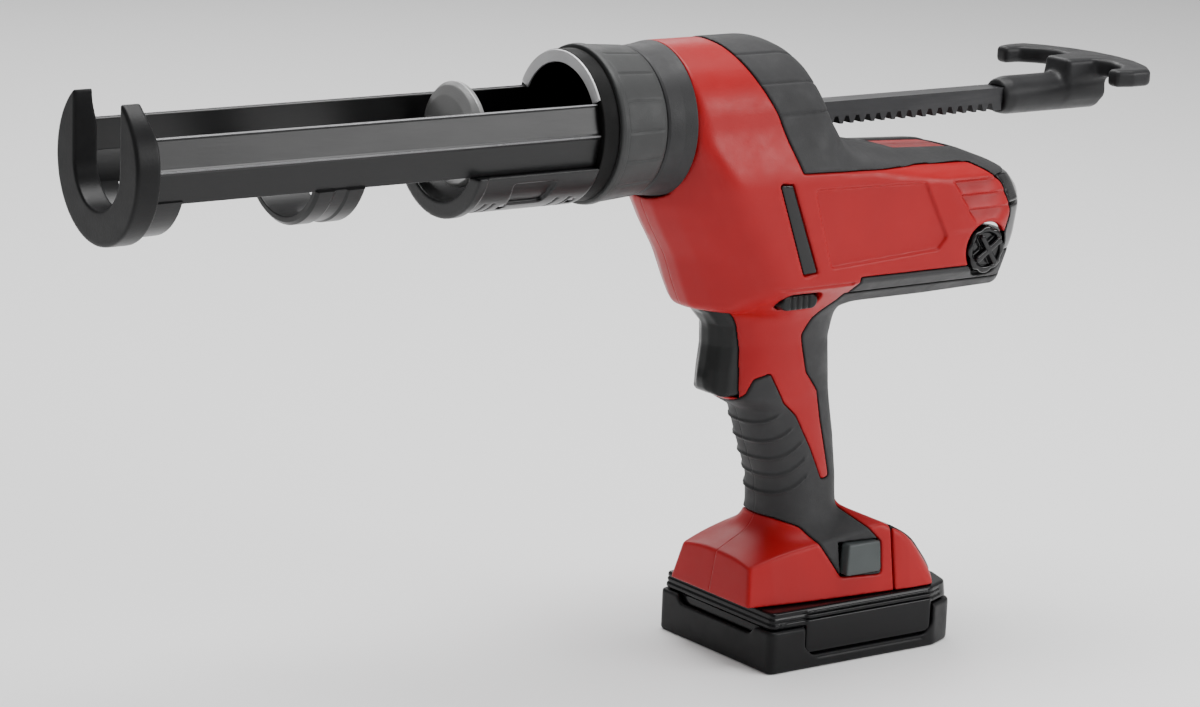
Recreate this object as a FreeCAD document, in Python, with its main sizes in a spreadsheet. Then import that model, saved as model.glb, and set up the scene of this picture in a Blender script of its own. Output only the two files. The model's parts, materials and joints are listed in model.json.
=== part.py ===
import FreeCAD, Part
import math
import os
import re

import Sketcher
from FreeCAD import Rotation, Vector

# Battery caulking gun. The model is laid out from the barrel: x runs back from the nose cap's
# front face, z is height above the barrel's axis and y is across, with the dial on the -y side.
# The finished pieces are then placed with the battery's foot centred on the frame's origin.

DIMENSIONS = [
    ("nose_place", -346.0),      # the nose cap's front face, ahead of the battery's centre
    ("axis_height", 232.0),      # the barrel's axis above the battery's foot
    ("cap_radius", 31.0),
    ("cap_depth", 10.3),
    ("cap_plate", 4.5),
    ("cup_radius", 26.6),
    ("slot_radius", 17.5),
    ("bay_radius", 25.6),        # clears a cartridge 50 mm across
    ("rail_edge", 12.4),
    ("rail_out", 28.2),
    ("rail_side", 25.0),
    ("rail_wall", 2.3),
    ("hoop_radius", 28.5),
    ("hoop_end", 20.0),
    ("saddle_start", 79.0),
    ("saddle_end", 101.0),
    ("saddle_radius", 29.2),
    ("cradle_start", 150.0),
    ("cradle_radius", 32.6),
    ("ring_start", 207.5),
    ("ring_end", 214.9),
    ("ring_radius", 30.6),
    ("ring_bore", 25.3),
    ("neck_radius", 28.0),
    ("neck_end", 245.7),
    ("collar_start", 215.3),
    ("collar_end", 238.8),
    ("collar_front", 32.3),
    ("collar_back", 30.2),
    ("seat_start", 239.2),
    ("seat_end", 252.7),
    ("seat_bore", 24.8),
    ("running_gap", 0.3),
    ("head_start", 253.0),
    ("head_top", 31.7),
    ("body_half", 38.0),
    ("shell_wall", 2.5),
    ("rubber_depth", 1.5),
    ("shaft_place", 300.0),      # the two cross shafts stand one above the other here
    ("upper_shaft", -17.6),
    ("lower_shaft", -50.6),
    ("shaft_radius", 4.0),
    ("bearing_radius", 8.0),
    ("rod_half", 5.0),
    ("rod_top", 1.75),
    ("rack_pitch_line", -6.75),
    ("rack_root", -4.75),
    ("rack_tip", -8.01),
    ("rack_module", 1.8),
    ("rod_start", 159.5),
    ("sleeve_start", 437.0),
    ("sleeve_end", 493.0),
    ("sleeve_radius", 8.3),
    ("sleeve_height", -2.5),
    ("piston_front", 151.0),
    ("piston_radius", 23.7),
    ("train_module", 1.5),
    ("bevel_module", 1.25),
    ("planet_module", 0.8),
    ("orbit_radius", 12.0),
    ("trigger_front", 283.0),
    ("trigger_half", 12.0),
    ("trigger_top", -80.5),
    ("trigger_foot", -120.5),
    ("dial_place", 405.0),
    ("dial_height", -60.6),
    ("dial_radius", 10.5),
    ("button_place", 311.0),
    ("button_height", -76.0),
    ("button_half", 29.5),
    ("foot_bottom", -205.5),
    ("pack_top", -206.0),
    ("pack_bottom", -232.0),
    ("pack_front", 296.8),
    ("pack_back", 403.0),
    ("pack_half", 39.0),
    ("cell_radius", 9.0),
]

PRESSURE_ANGLE = math.radians(20.0)
TURNS = {"x": Rotation(Vector(0, 1, 0), 90), "y": Rotation(Vector(1, 0, 0), -90), "z": Rotation()}
PLANES = {"XY": Rotation(), "XZ": Rotation(Vector(1, 0, 0), 90), "YZ": Rotation(Vector(1, 1, 1), 120)}

doc = FreeCAD.newDocument("caulking_gun")
sheet = doc.addObject("Spreadsheet::Sheet", "params")
for row, (alias, dimension) in enumerate(DIMENSIONS, 1):
    sheet.set("A%d" % row, alias)
    sheet.set("B%d" % row, str(dimension))
    sheet.setAlias("B%d" % row, alias)
doc.recompute()

nodes = []


# ---------------------------------------------------------------- helpers

def bound(expression):
    """Names the sheet in front of every alias: each alias is two or more words joined by _."""
    return re.sub(r"\b[a-z]+(?:_[a-z]+)+\b", r"params.\g<0>", str(expression))


def number(expression):
    """The value of an expression over the sheet, in mm."""
    return float(sheet.evalExpression(bound(expression)))


def bind(item, **properties):
    """Binds properties to expressions. A double underscore stands for a dot."""
    for name, expression in properties.items():
        item.setExpression(name.replace("__", "."), bound(expression))


def node(item, label):
    """Names a finished piece and moves it from the barrel's layout to the frame."""
    item.Label = label
    placed = {path.lstrip("."): text for path, text in item.ExpressionEngine}
    for path, alias in (("Placement.Base.x", "nose_place"), ("Placement.Base.z", "axis_height")):
        item.setExpression(path, bound(alias) + " + (%s)" % placed.get(path, "0"))
    nodes.append(item)
    return item


def shape_node(shape, label):
    """A piece whose shape is worked out here. It reads its sizes from the sheet."""
    item = doc.addObject("Part::Feature", "shape_" + label)
    item.Shape = shape
    return node(item, label)


def box(x, y, z):
    """A block between two expressions along each axis."""
    item = doc.addObject("Part::Box", "block")
    for span, side, corner in ((x, "Length", "x"), (y, "Width", "y"), (z, "Height", "z")):
        item.setExpression(side, bound("(%s) - (%s)" % (span[1], span[0])))
        item.setExpression("Placement.Base." + corner, bound(span[0]))
    return item


def cylinder(axis, radius, span, centre=("0", "0")):
    """A cylinder along an axis. The centre is given on the other two axes, in X, Y, Z order."""
    item = doc.addObject("Part::Cylinder", "round")
    item.Placement.Rotation = TURNS[axis]
    bind(item, Radius=radius, Height="(%s) - (%s)" % (span[1], span[0]))
    across = [name for name in "xyz" if name != axis]
    item.setExpression("Placement.Base." + axis, bound(span[0]))
    item.setExpression("Placement.Base." + across[0], bound(centre[0]))
    item.setExpression("Placement.Base." + across[1], bound(centre[1]))
    return item


def fuse(*items):
    result = doc.addObject("Part::MultiFuse", "joined")
    result.Shapes = list(items)
    return result


def cut(base, *tools):
    result = doc.addObject("Part::Cut", "trimmed")
    result.Base = base
    result.Tool = tools[0] if len(tools) == 1 else fuse(*tools)
    return result


def common(first, second):
    result = doc.addObject("Part::Common", "shared")
    result.Base = first
    result.Tool = second
    return result


def ring(axis, outer, inner, span, centre=("0", "0")):
    longer = ("(%s) - 1" % span[0], "(%s) + 1" % span[1])
    return cut(cylinder(axis, outer, span, centre), cylinder(axis, inner, longer, centre))


def draw(sketch, points):
    """Draws a closed outline and ties every corner to its pair of expressions."""
    corners = [Vector(number(across), number(up), 0) for across, up in points]
    for index, corner in enumerate(corners):
        sketch.addGeometry(Part.LineSegment(corner, corners[(index + 1) % len(corners)]), False)
    for index, corner in enumerate(corners):
        following = (index + 1) % len(corners)
        sketch.addConstraint(Sketcher.Constraint("Coincident", index, 2, following, 1))
        for kind, place, expression in zip(("DistanceX", "DistanceY"), (corner.x, corner.y), points[index]):
            label = "%s%d" % (kind, index)
            made = sketch.addConstraint(Sketcher.Constraint(kind, -1, 1, index, 1, place))
            sketch.renameConstraint(made, label)
            sketch.setExpression("Constraints." + label, bound(expression))


def body(label):
    """A PartDesign body for one piece."""
    return node(doc.addObject("PartDesign::Body", "body_" + label), label)


def sketch_on(owner, plane, points):
    """A closed outline on one of a body's own origin planes."""
    sketch = owner.newObject("Sketcher::SketchObject", "outline")
    support = next(item for item in owner.Origin.OriginFeatures if item.Role == plane + "_Plane")
    sketch.AttachmentSupport = (support, "")
    sketch.MapMode = "FlatFace"
    draw(sketch, points)
    return sketch


def pad(owner, plane, points, length, symmetric=False, lift=None):
    """Pads an outline. Lift moves the outline's plane along its normal."""
    sketch = sketch_on(owner, plane, points)
    if lift is not None:
        sketch.setExpression("AttachmentOffset.Base.z", bound(lift))
    feature = owner.newObject("PartDesign::Pad", "pad")
    feature.Profile = sketch
    feature.Midplane = symmetric
    bind(feature, Length=length)
    return feature


def revolve(owner, points):
    """Turns an outline of (x, radius) corners about the barrel's axis."""
    sketch = sketch_on(owner, "XZ", points)
    feature = owner.newObject("PartDesign::Revolution", "turned")
    feature.Profile = sketch
    feature.ReferenceAxis = (sketch, ["H_Axis"])
    feature.Angle = 360.0
    return feature


def prism(plane, points, span):
    """An outline in a plane, carried along the plane's third axis between two expressions."""
    sketch = doc.addObject("Sketcher::SketchObject", "plan")
    sketch.Placement.Rotation = PLANES[plane]
    third = {"XY": "z", "XZ": "y", "YZ": "x"}[plane]
    sketch.setExpression("Placement.Base." + third, bound(span[0]))
    draw(sketch, points)
    item = doc.addObject("Part::Extrusion", "prism")
    item.Base = sketch
    item.DirMode = "Custom"
    item.Dir = {"XY": Vector(0, 0, 1), "XZ": Vector(0, 1, 0), "YZ": Vector(1, 0, 0)}[plane]
    item.Solid = True
    bind(item, LengthFwd="(%s) - (%s)" % (span[1], span[0]))
    return item


def both_sides(corners):
    """Adds the mirror image, across y = 0, of corners that run from the front to the back."""
    return corners + [(x, "-(%s)" % y) for x, y in reversed(corners)]


# ---------------------------------------------------------------- gear teeth

def involute(angle):
    return math.tan(angle) - angle


def gear_outline(teeth, pitch_radius, addendum, dedendum, thickness, phase=0.0, cone=0.0):
    """Corners of a gear about the origin, with a tooth centred on the phase angle.

    On a bevel gear, cone is the pitch cone's half angle: tooth heights are taken square to that
    cone and the flanks come from the equivalent spur gear, whose pitch radius is larger."""
    slope = math.cos(cone)
    spur_radius = pitch_radius / slope
    base = spur_radius * math.cos(PRESSURE_ANGLE)
    steps = 5
    lowest = max(-dedendum, base - spur_radius)
    heights = [lowest + (addendum - lowest) * step / (steps - 1) for step in range(steps)]
    if lowest > -dedendum + 0.01:
        heights.insert(0, -dedendum)
    flank = []
    for height in heights:
        radius = spur_radius + height
        turn = involute(math.acos(min(1.0, base / radius)))
        half = thickness / (2 * spur_radius) + involute(PRESSURE_ANGLE) - turn
        place = pitch_radius + height / slope
        flank.append((place, half * radius / place))
    corners = []
    for tooth in range(teeth):
        middle = phase + 2 * math.pi * tooth / teeth
        corners += [(place, middle - half) for place, half in flank]
        corners += [(place, middle + half) for place, half in reversed(flank)]
    return [(place * math.cos(angle), place * math.sin(angle)) for place, angle in corners]


def face_wire(corners, axis, offset, centre=(0.0, 0.0), scale=1.0):
    """Stands a flat outline square to the x or y axis, at an offset along it."""
    points = []
    for across, up in corners + corners[:1]:
        first = centre[0] + across * scale
        second = centre[1] + up * scale
        points.append(Vector(offset, first, second) if axis == "x" else Vector(first, offset, second))
    return Part.makePolygon(points)


def spur_gear(axis, corners, span, centre, bore):
    """A straight gear between two places on its axis, with a round bore."""
    along = Vector(1, 0, 0) if axis == "x" else Vector(0, 1, 0)
    solid = Part.Face(face_wire(corners, axis, span[0], centre)).extrude(along * (span[1] - span[0]))
    if bore:
        foot = along * (span[0] - 1) + cross_place(axis, centre)
        solid = solid.cut(Part.makeCylinder(bore, span[1] - span[0] + 2, foot, along))
    return solid


def cross_place(axis, centre):
    return Vector(0, centre[0], centre[1]) if axis == "x" else Vector(centre[0], 0, centre[1])


# ---------------------------------------------------------------- carriage

def make_nose():
    """The nose cap is a cup with a slot for the nozzle, open at the top."""
    cup = cut(cylinder("x", "cap_radius", ("0", "cap_depth")),
              cylinder("x", "cup_radius", ("cap_plate", "cap_depth + 1")),
              cylinder("x", "slot_radius", ("-1", "cap_depth + 1")),
              box(("-1", "cap_depth + 1"), ("-slot_radius", "slot_radius"), ("0", "cap_radius + 1")),
              rivet_set(1.7))
    node(cup, "front_cap")


def rivet_set(radius):
    """Rivets of one size: three in the nose plate and two in each side of the cradle."""
    places = [(24.2, 2.0), (22.4, -8.0), (-22.5, -9.0)]
    rivets = [cylinder("x", str(radius), ("0.1", "3.9"), (str(y), str(z))) for y, z in places]
    for side in (-1, 1):
        for x in (158.0, 199.0):
            span = sorted((side * 20.2, side * 25.9))
            rivets.append(cylinder("y", str(radius), (str(span[0]), str(span[1])), (str(x), "-20")))
    return fuse(*rivets)


def make_rails():
    """Each rail is a shallow V of sheet, with its ridge level with the axis."""
    for label, side in (("left_rail", -1), ("right_rail", 1)):
        section = [("rail_side", "rail_edge"), ("rail_out", "0"), ("rail_side", "-rail_edge"),
                   ("rail_side - rail_wall", "-rail_edge"), ("rail_out - rail_wall", "0"),
                   ("rail_side - rail_wall", "rail_edge")]
        points = [("%d * (%s)" % (side, across), up) for across, up in section]
        pad(body(label), "YZ", points, "ring_start - cap_depth", lift="cap_depth")


def half_hoop(outer, span):
    """The lower part of a ring, from one rail's bottom edge round to the other's."""
    above = box(("(%s) - 1" % span[0], "(%s) + 1" % span[1]), ("-40", "40"), ("-rail_edge", "40"))
    return cut(ring("x", outer, "bay_radius", span), above)


def make_carriage():
    make_nose()
    make_rails()
    node(half_hoop("hoop_radius", ("cap_depth", "hoop_end")), "front_hoop")
    node(half_hoop("saddle_radius", ("saddle_start", "saddle_end")), "mid_saddle")
    panels = [box(("168", "188"), sorted_span(side, 26.4, 40), ("-25", "-17")) for side in (-1, 1)]
    cradle = half_hoop("cradle_radius", ("cradle_start", "ring_start"))
    node(cut(cradle, rivet_set(1.7), *panels), "rear_cradle")
    node(rivet_set(1.7), "carriage_rivets")
    revolve(body("rear_ring"), [("ring_start", "ring_bore"), ("ring_start", "ring_radius"),
                                ("ring_end", "ring_radius"), ("ring_end", "neck_radius"),
                                ("neck_end", "neck_radius"), ("neck_end", "ring_bore")])


def sorted_span(side, near, far):
    low, high = sorted((side * near, side * far))
    return str(low), str(high)


def make_collar():
    """The lock collar tapers to the back and has flat pads cut round it for the hand."""
    owner = body("lock_collar")
    bore = "neck_radius + running_gap"
    revolve(owner, [("collar_start", bore), ("collar_start", "collar_front"),
                    ("collar_start + 4", "collar_front"), ("collar_end", "collar_back"),
                    ("collar_end", bore)])
    groove = owner.newObject("PartDesign::Pocket", "pad_groove")
    outline = sketch_on(owner, "YZ", [("-0.7", "collar_back - 0.2"), ("0.7", "collar_back - 0.2"),
                                      ("0.7", "collar_front + 1"), ("-0.7", "collar_front + 1")])
    outline.setExpression("AttachmentOffset.Base.z", bound("collar_start + 5"))
    groove.Profile = outline
    groove.Reversed = True
    bind(groove, Length="collar_end - collar_start - 4")
    pattern = owner.newObject("PartDesign::PolarPattern", "pads")
    pattern.Originals = [groove]
    pattern.Axis = (outline, ["N_Axis"])
    pattern.Angle = 360.0
    pattern.Occurrences = 12
    owner.Tip = pattern
    revolve(body("seat_ring"), [("seat_start", "neck_radius + running_gap"), ("seat_start", "30"),
                                ("seat_start + 8", "30.7"), ("seat_end", "head_top"),
                                ("seat_end", "seat_bore"), ("neck_end + running_gap", "seat_bore"),
                                ("neck_end + running_gap", "neck_radius + running_gap")])


# ---------------------------------------------------------------- body shells

HEAD_SIDE = [(253, -33), (262, -52), (268, -64), (275, -75), (284, -80), (384, -80), (420, -79),
             (436, -76), (444, -68), (446, -58), (443, -47), (434, -35), (420, -25.5), (404, -20),
             (368, -18.5), (352, -15), (340, -3), (330, 11), (317, 24), (302, 32.5), (253, 32.5)]
HEAD_PLANS = [(-84, [(276, 5), (282, 13), (295, 29), (309, 38), (410, 38), (424, 31), (436, 20), (444, 6)]),
              (-57, [(266, 6), (271, 16), (281, 31), (290, 38), (422, 38), (434, 31), (441, 20), (446, 6)]),
              (-33, [(250, 8), (261, 22), (270, 34), (276, 38), (405, 38), (420, 31), (430, 20), (438, 6)]),
              (40, [(250, 20), (252, 32), (256, 36), (262, 38), (405, 38), (420, 31), (430, 20), (438, 6)])]
HEAD_FRONT = [(38, -22), (38, -66), (20, -80), (-20, -80), (-38, -66), (-38, -22)]
MOTOR_FRONT = [(16, -18.5), (38, -25), (38, -66), (20, -80), (-20, -80), (-38, -66), (-38, -25), (-16, -18.5)]
HEAD_BACK = 352.0
GRIP_LEVELS = [(-70, 287, 352, 28), (-82, 289, 348, 21), (-97, 291, 345.5, 18), (-120, 292, 347.5, 17.5),
               (-126, 303, 348, 17), (-140, 308, 350.5, 17), (-158, 315, 352.5, 17), (-170, 316, 353, 17.5)]
FOOT_LEVELS = [(-166, [(316, 6), (320, 13), (328, 17), (341, 17), (350, 13), (353, 6)]),
               (-186, [(296, 23), (309, 27.5), (324, 31.5), (361, 33.5), (374, 30), (382, 18)]),
               (-205.5, [(293, 27), (306, 29.5), (338, 33), (363, 35), (387, 36), (394, 27)])]
ROUNDNESS = 2.3
GRIP_POINTS = 20


def offset_prism(wire, inset, along):
    """Shrinks a flat outline by the inset and carries it along a direction."""
    face = Part.Face(wire)
    if inset:
        face = face.makeOffset2D(-inset)
    return face.extrude(along)


def closed(points):
    return Part.makePolygon(points + points[:1])


def plan_loft(levels, inset):
    """Joins mirrored plan outlines, from the lowest to the highest, with flat facets."""
    wires = []
    for height, corners in levels:
        level = [Vector(x, y, height) for x, y in corners]
        level += [Vector(x, -y, height) for x, y in reversed(corners)]
        wire = closed(level)
        if inset:
            wire = Part.Face(wire).makeOffset2D(-inset).OuterWire
        wires.append(wire)
    return Part.makeLoft(wires, True, True)


def head_solid(inset):
    """The head and motor housing: each is its side, front and plan outlines taken together."""
    start = number("head_start") - 3
    top = number("head_top")
    arch = Part.Arc(Vector(start, -top, 0), Vector(start, 0, top), Vector(start, top, 0)).toShape()
    low = [Vector(start, y, z) for y, z in HEAD_FRONT]
    sides = Part.makePolygon([arch.Vertexes[-1].Point] + low + [arch.Vertexes[0].Point])
    head = offset_prism(Part.Wire([arch] + sides.Edges), inset, Vector(HEAD_BACK - start, 0, 0))
    section = closed([Vector(HEAD_BACK - 12, y, z) for y, z in MOTOR_FRONT])
    motor = offset_prism(section, inset, Vector(120, 0, 0))
    side = closed([Vector(x, -50, z) for x, z in HEAD_SIDE])
    limits = offset_prism(side, inset, Vector(0, 100, 0)).common(plan_loft(HEAD_PLANS, inset))
    return head.fuse(motor).common(limits)


def grip_solid(inset):
    """The grip is lofted through rounded sections from the head down to the foot."""
    wires = []
    for height, front, back, half in GRIP_LEVELS:
        middle = (front + back) / 2.0
        reach = (back - front) / 2.0 - inset
        points = []
        for step in range(GRIP_POINTS):
            angle = 2 * math.pi * step / GRIP_POINTS
            across = math.copysign(abs(math.cos(angle)) ** (2 / ROUNDNESS), math.cos(angle))
            wide = math.copysign(abs(math.sin(angle)) ** (2 / ROUNDNESS), math.sin(angle))
            points.append(Vector(middle + reach * across, (half - inset) * wide, height))
        wires.append(closed(points))
    return Part.makeLoft(wires, True, True)


def foot_solid(inset):
    """The foot widens in flat facets from the grip to the battery's rails."""
    return plan_loft(list(reversed(FOOT_LEVELS)), inset)


def block(x, y, z):
    """A plain block between numbers."""
    return Part.makeBox(x[1] - x[0], y[1] - y[0], z[1] - z[0], Vector(x[0], y[0], z[0]))


def rod_shape(axis, radius, span, centre):
    """A plain cylinder between numbers, for shapes worked out here."""
    along = {"x": Vector(1, 0, 0), "y": Vector(0, 1, 0), "z": Vector(0, 0, 1)}[axis]
    foot = {"x": Vector(span[0], *centre), "y": Vector(centre[0], span[0], centre[1]),
            "z": Vector(*centre, span[0])}[axis]
    return Part.makeCylinder(radius, span[1] - span[0], foot, along)


def whole_body(inset):
    return head_solid(inset).fuse([grip_solid(inset), foot_solid(inset)])


def side_region(points):
    """A flat region of the side view, carried right across the body."""
    return Part.Face(closed([Vector(x, -60, z) for x, z in points])).extrude(Vector(0, 120, 0))


TOP_RUBBER = [(274, 36), (290, 4), (303, -20), (403, -24), (413, -42), (400, -60), (384, -66), (338, -66),
              (338, -72), (470, -72), (470, 40), (274, 40)]
BACK_RUBBER = [(338, -72.4), (338, -78), (326, -86), (321, -92), (326, -110), (333, -120), (336, -132),
               (343, -160), (338, -160), (331, -143), (322, -128), (315, -121), (307, -109), (300, -111),
               (298, -118), (294, -122.2), (270, -122.2), (270, -166), (318, -174), (322, -181),
               (334, -196), (358, -197), (357, -182), (362, -174), (372, -160), (372, -100), (470, -90),
               (470, -72.4)]
HOUSING_SCREWS = [(284, 18), (286, -66), (340, -68), (424, -60), (330, -104), (322, -150), (310, -194)]
SCREW_RADIUS = 2.8
VENT_ROWS = (-30.5, -37.0, -43.5)


def vent_bar_outline(grow):
    """The slanted bar let into each flank, behind the head's corner."""
    return [(291.6 - grow, -24.5 + grow), (297.4 + grow, -24.9 + grow), (312.2 + grow, -62.1 - grow),
            (306.0 - grow, -62.6 - grow)]


def screw_set(radius, spare):
    """Screw heads set into the right flank."""
    solids = []
    for x, z in HOUSING_SCREWS:
        out = screw_reach(x, z)
        solids.append(rod_shape("y", radius, (out - 4.0 - spare, out + spare * 20), (x, z)))
    return solids


def screw_reach(x, z):
    """How far out a screw's head lies, a little below the skin beside it."""
    if z < -180:
        return 27.0
    if z < -90:
        return 15.6
    return 29.0 if z > 0 else 36.6


def make_shells():
    """Splits the body's shell down the middle and lets the rubber grips into it."""
    outer = whole_body(0)
    skin = outer.cut(whole_body(number("rubber_depth")))
    shell = outer.cut(whole_body(number("shell_wall")))
    gap = number("running_gap")
    trigger_room = block((262, 313), (-number("trigger_half") - gap, number("trigger_half") + gap),
                         (number("trigger_foot") - gap, number("trigger_top") + gap))
    frame = block((284, 313), (-17, 17), (-125, -78)).common(outer)
    rib = block((328, 331), (-33, 33), (-12, 30)).common(outer)
    dial_at = (number("dial_place"), number("dial_height"))
    dial_well = rod_shape("y", number("dial_radius") + 3.5, (-38, -25), dial_at).common(outer)
    shell = shell.fuse([frame, rib, dial_well])

    seat = number("head_start")
    rod_middle = (number("rod_top") + number("rack_tip")) / 2
    half = number("body_half")
    openings = [
        trigger_room,
        rod_shape("x", number("head_top") + gap, (200, seat), (0, 0)),
        rod_shape("x", 9.05, (250, 262), (0, rod_middle)),
        rod_shape("x", 8.65, (326, 334), (0, rod_middle)),
        rod_shape("x", 9.5, (331, 370), (0, rod_middle)),
        rod_shape("y", number("dial_radius") + 0.8, (-60, -28.5), dial_at),
        rod_shape("y", 3.3, (-40, -20), dial_at),
        button_prism(gap, -50, 50),
    ]
    for height in VENT_ROWS:
        openings.append(block((384, 406), (-60, 60), (height - 1.2, height + 1.2)))
    openings += screw_set(SCREW_RADIUS + 0.1, 1.0)
    for side in (-1, 1):
        span = sorted((side * (half - 1.6), side * 60))
        bar = Part.Face(closed([Vector(x, span[0], z) for x, z in vent_bar_outline(0.1)]))
        openings.append(bar.extrude(Vector(0, span[1] - span[0], 0)))
        latch = sorted((side * 20, side * 60))
        openings.append(block((338.7, 355.3), latch, (-196.3, -182.7)))
    pack_tongue = block((299, 470), (-22.6, 22.6), (-215, -195.6))
    openings.append(pack_tongue)
    shell = shell.cut(openings)

    rear_line = 366.0
    rear_block = block((rear_line, 420), (-60, 60), (-215, -172))
    seam_block = block((rear_line - 0.8, rear_line), (-60, 60), (-215, -172))
    pieces = {}
    for label, region in (("top", TOP_RUBBER), ("grip", BACK_RUBBER)):
        rubber = skin.common(side_region(region)).cut(openings)
        pieces[label] = rubber.cut([rear_block, seam_block])
    plastic = shell.cut([pieces["top"], pieces["grip"]])
    shape_node(plastic.common(rear_block), "foot_rear_cap")
    plastic = plastic.cut([rear_block, seam_block])
    for name, low, high in (("left", -60, 0), ("right", 0, 60)):
        half_space = block((200, 480), (low, high), (-240, 60))
        shape_node(tidy(plastic.common(half_space)), name + "_housing")
        shape_node(tidy(pieces["top"].common(half_space)), name + "_top_rubber")
        shape_node(tidy(pieces["grip"].common(half_space)), name + "_grip_rubber")

    bars = []
    for side in (-1, 1):
        span = sorted((side * (half - 1.6), side * (half + 0.5)))
        face = Part.Face(closed([Vector(x, span[0], z) for x, z in vent_bar_outline(0)]))
        bars.append(face.extrude(Vector(0, span[1] - span[0], 0)))
    shape_node(Part.makeCompound(bars), "vent_bars")
    shape_node(Part.makeCompound(screw_set(SCREW_RADIUS, 0)), "housing_screws")


def tidy(shape):
    """Keeps the real solids of a cut and drops specks."""
    solids = [solid for solid in shape.Solids if solid.Volume > 2.0]
    return solids[0] if len(solids) == 1 else Part.makeCompound(solids)


def button_prism(grow, low, high):
    """The lock button's rounded bar, right across the body."""
    reach = 6.2
    radius = 3.2 + grow
    x = number("button_place")
    z = number("button_height")
    bar = block((x - reach, x + reach), (low, high), (z - radius, z + radius))
    ends = [rod_shape("y", radius, (low, high), (x + side * reach, z)) for side in (-1, 1)]
    return bar.fuse(ends).removeSplitter()


# ---------------------------------------------------------------- drive train

def make_bushings():
    """Two guide bushes hold the rod square."""
    hole = box(("240", "350"), ("-rod_half - 0.06", "rod_half + 0.06"),
               ("rack_tip - 0.06", "rod_top + 0.06"))
    pair = fuse(cylinder("x", "9.0", ("head_start + 0.2", "head_start + 7"), ("0", "(rod_top + rack_tip) / 2")),
                cylinder("x", "8.6", ("326.5", "332"), ("0", "(rod_top + rack_tip) / 2")))
    node(cut(pair, hole), "rod_bushings")


def make_rod():
    """A square bar with a rack along its underside. The plain ends fit the piston and handle."""
    owner = body("rack_rod")
    pad(owner, "XZ", [("rod_start", "rack_root"), ("195", "rack_root"), ("195", "rack_tip"),
                      ("sleeve_start - 0.5", "rack_tip"), ("sleeve_start - 0.5", "rack_root"),
                      ("sleeve_start + 18", "rack_root"), ("sleeve_start + 18", "rod_top"),
                      ("rod_start", "rod_top")], "2 * rod_half", symmetric=True)
    pitch = "pi * rack_module"
    first = "shaft_place - 18 * %s" % pitch
    low = "0.25 * %s + 0.12 + (rack_pitch_line - rack_tip) * 0.364" % pitch
    high = "0.25 * %s + 0.12 - (rack_root - rack_pitch_line) * 0.364" % pitch
    gap = owner.newObject("PartDesign::Pocket", "tooth_gap")
    outline = sketch_on(owner, "XZ", [
        ("%s - (%s) - 0.1456" % (first, low), "rack_tip - 0.4"),
        ("%s + (%s) + 0.1456" % (first, low), "rack_tip - 0.4"),
        ("%s + (%s)" % (first, high), "rack_root"), ("%s - (%s)" % (first, high), "rack_root")])
    gap.Profile = outline
    gap.Type = 1
    gap.Midplane = True
    pattern = owner.newObject("PartDesign::LinearPattern", "teeth")
    pattern.Originals = [gap]
    pattern.Direction = (outline, ["H_Axis"])
    pattern.Occurrences = 42
    bind(pattern, Length="41 * %s" % pitch)
    owner.Tip = pattern
    hole = owner.newObject("PartDesign::Pocket", "pin_hole")
    pin = owner.newObject("Sketcher::SketchObject", "pin_circle")
    support = next(item for item in owner.Origin.OriginFeatures if item.Role == "XZ_Plane")
    pin.AttachmentSupport = (support, "")
    pin.MapMode = "FlatFace"
    pin.addGeometry(Part.Circle(Vector(number("sleeve_start + 8"), -1.5, 0), Vector(0, 0, 1), 1.6))
    hole.Profile = pin
    hole.Type = 1
    hole.Midplane = True
    owner.Tip = hole


def make_piston():
    """A domed disc on the rod's front end, held by a screw from the front."""
    dome = body("piston")
    revolve(dome, [("piston_front", "2.6"), ("piston_front", "12"), ("piston_front + 0.6", "18"),
                   ("piston_front + 1.6", "22"), ("piston_front + 3", "piston_radius"),
                   ("rod_start", "piston_radius"), ("rod_start", "piston_radius - 2"),
                   ("rod_start - 4", "piston_radius - 3"), ("rod_start - 4", "9"),
                   ("rod_start", "8"), ("rod_start", "2.6")])
    node(fuse(cylinder("x", "5", ("piston_front - 1.4", "piston_front")),
              cylinder("x", "2.5", ("piston_front", "rod_start"))), "piston_screw")


def make_handle():
    """A bow that two fingers pull, standing on a sleeve pinned to the rod."""
    outline = both_sides([("503", "6"), ("500.5", "20"), ("495", "33"), ("487", "41.5"),
                          ("479", "41.5"), ("471", "39"), ("471", "32.5"), ("479", "32"),
                          ("485", "26"), ("488", "17"), ("486", "8.3"), ("472", "7.2")])
    bow = prism("XY", outline, ("4.6", "12"))
    sleeve = cylinder("x", "sleeve_radius", ("sleeve_start", "sleeve_end"), ("0", "sleeve_height"))
    post = box(("474", "492"), ("-6.5", "6.5"), ("0", "8"))
    room = box(("sleeve_start - 1", "sleeve_start + 18"), ("-rod_half - 0.05", "rod_half + 0.05"),
               ("rack_root - 0.05", "rod_top + 0.05"))
    pin = cylinder("y", "1.6", ("-12", "12"), ("sleeve_start + 8", "-1.5"))
    node(cut(fuse(bow, sleeve, post), room, pin), "pull_handle")
    node(cylinder("y", "1.6", ("-7.2", "7.2"), ("sleeve_start + 8", "-1.5")), "handle_pin")


def shaft_centre(alias):
    return number("shaft_place"), number(alias)


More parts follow.
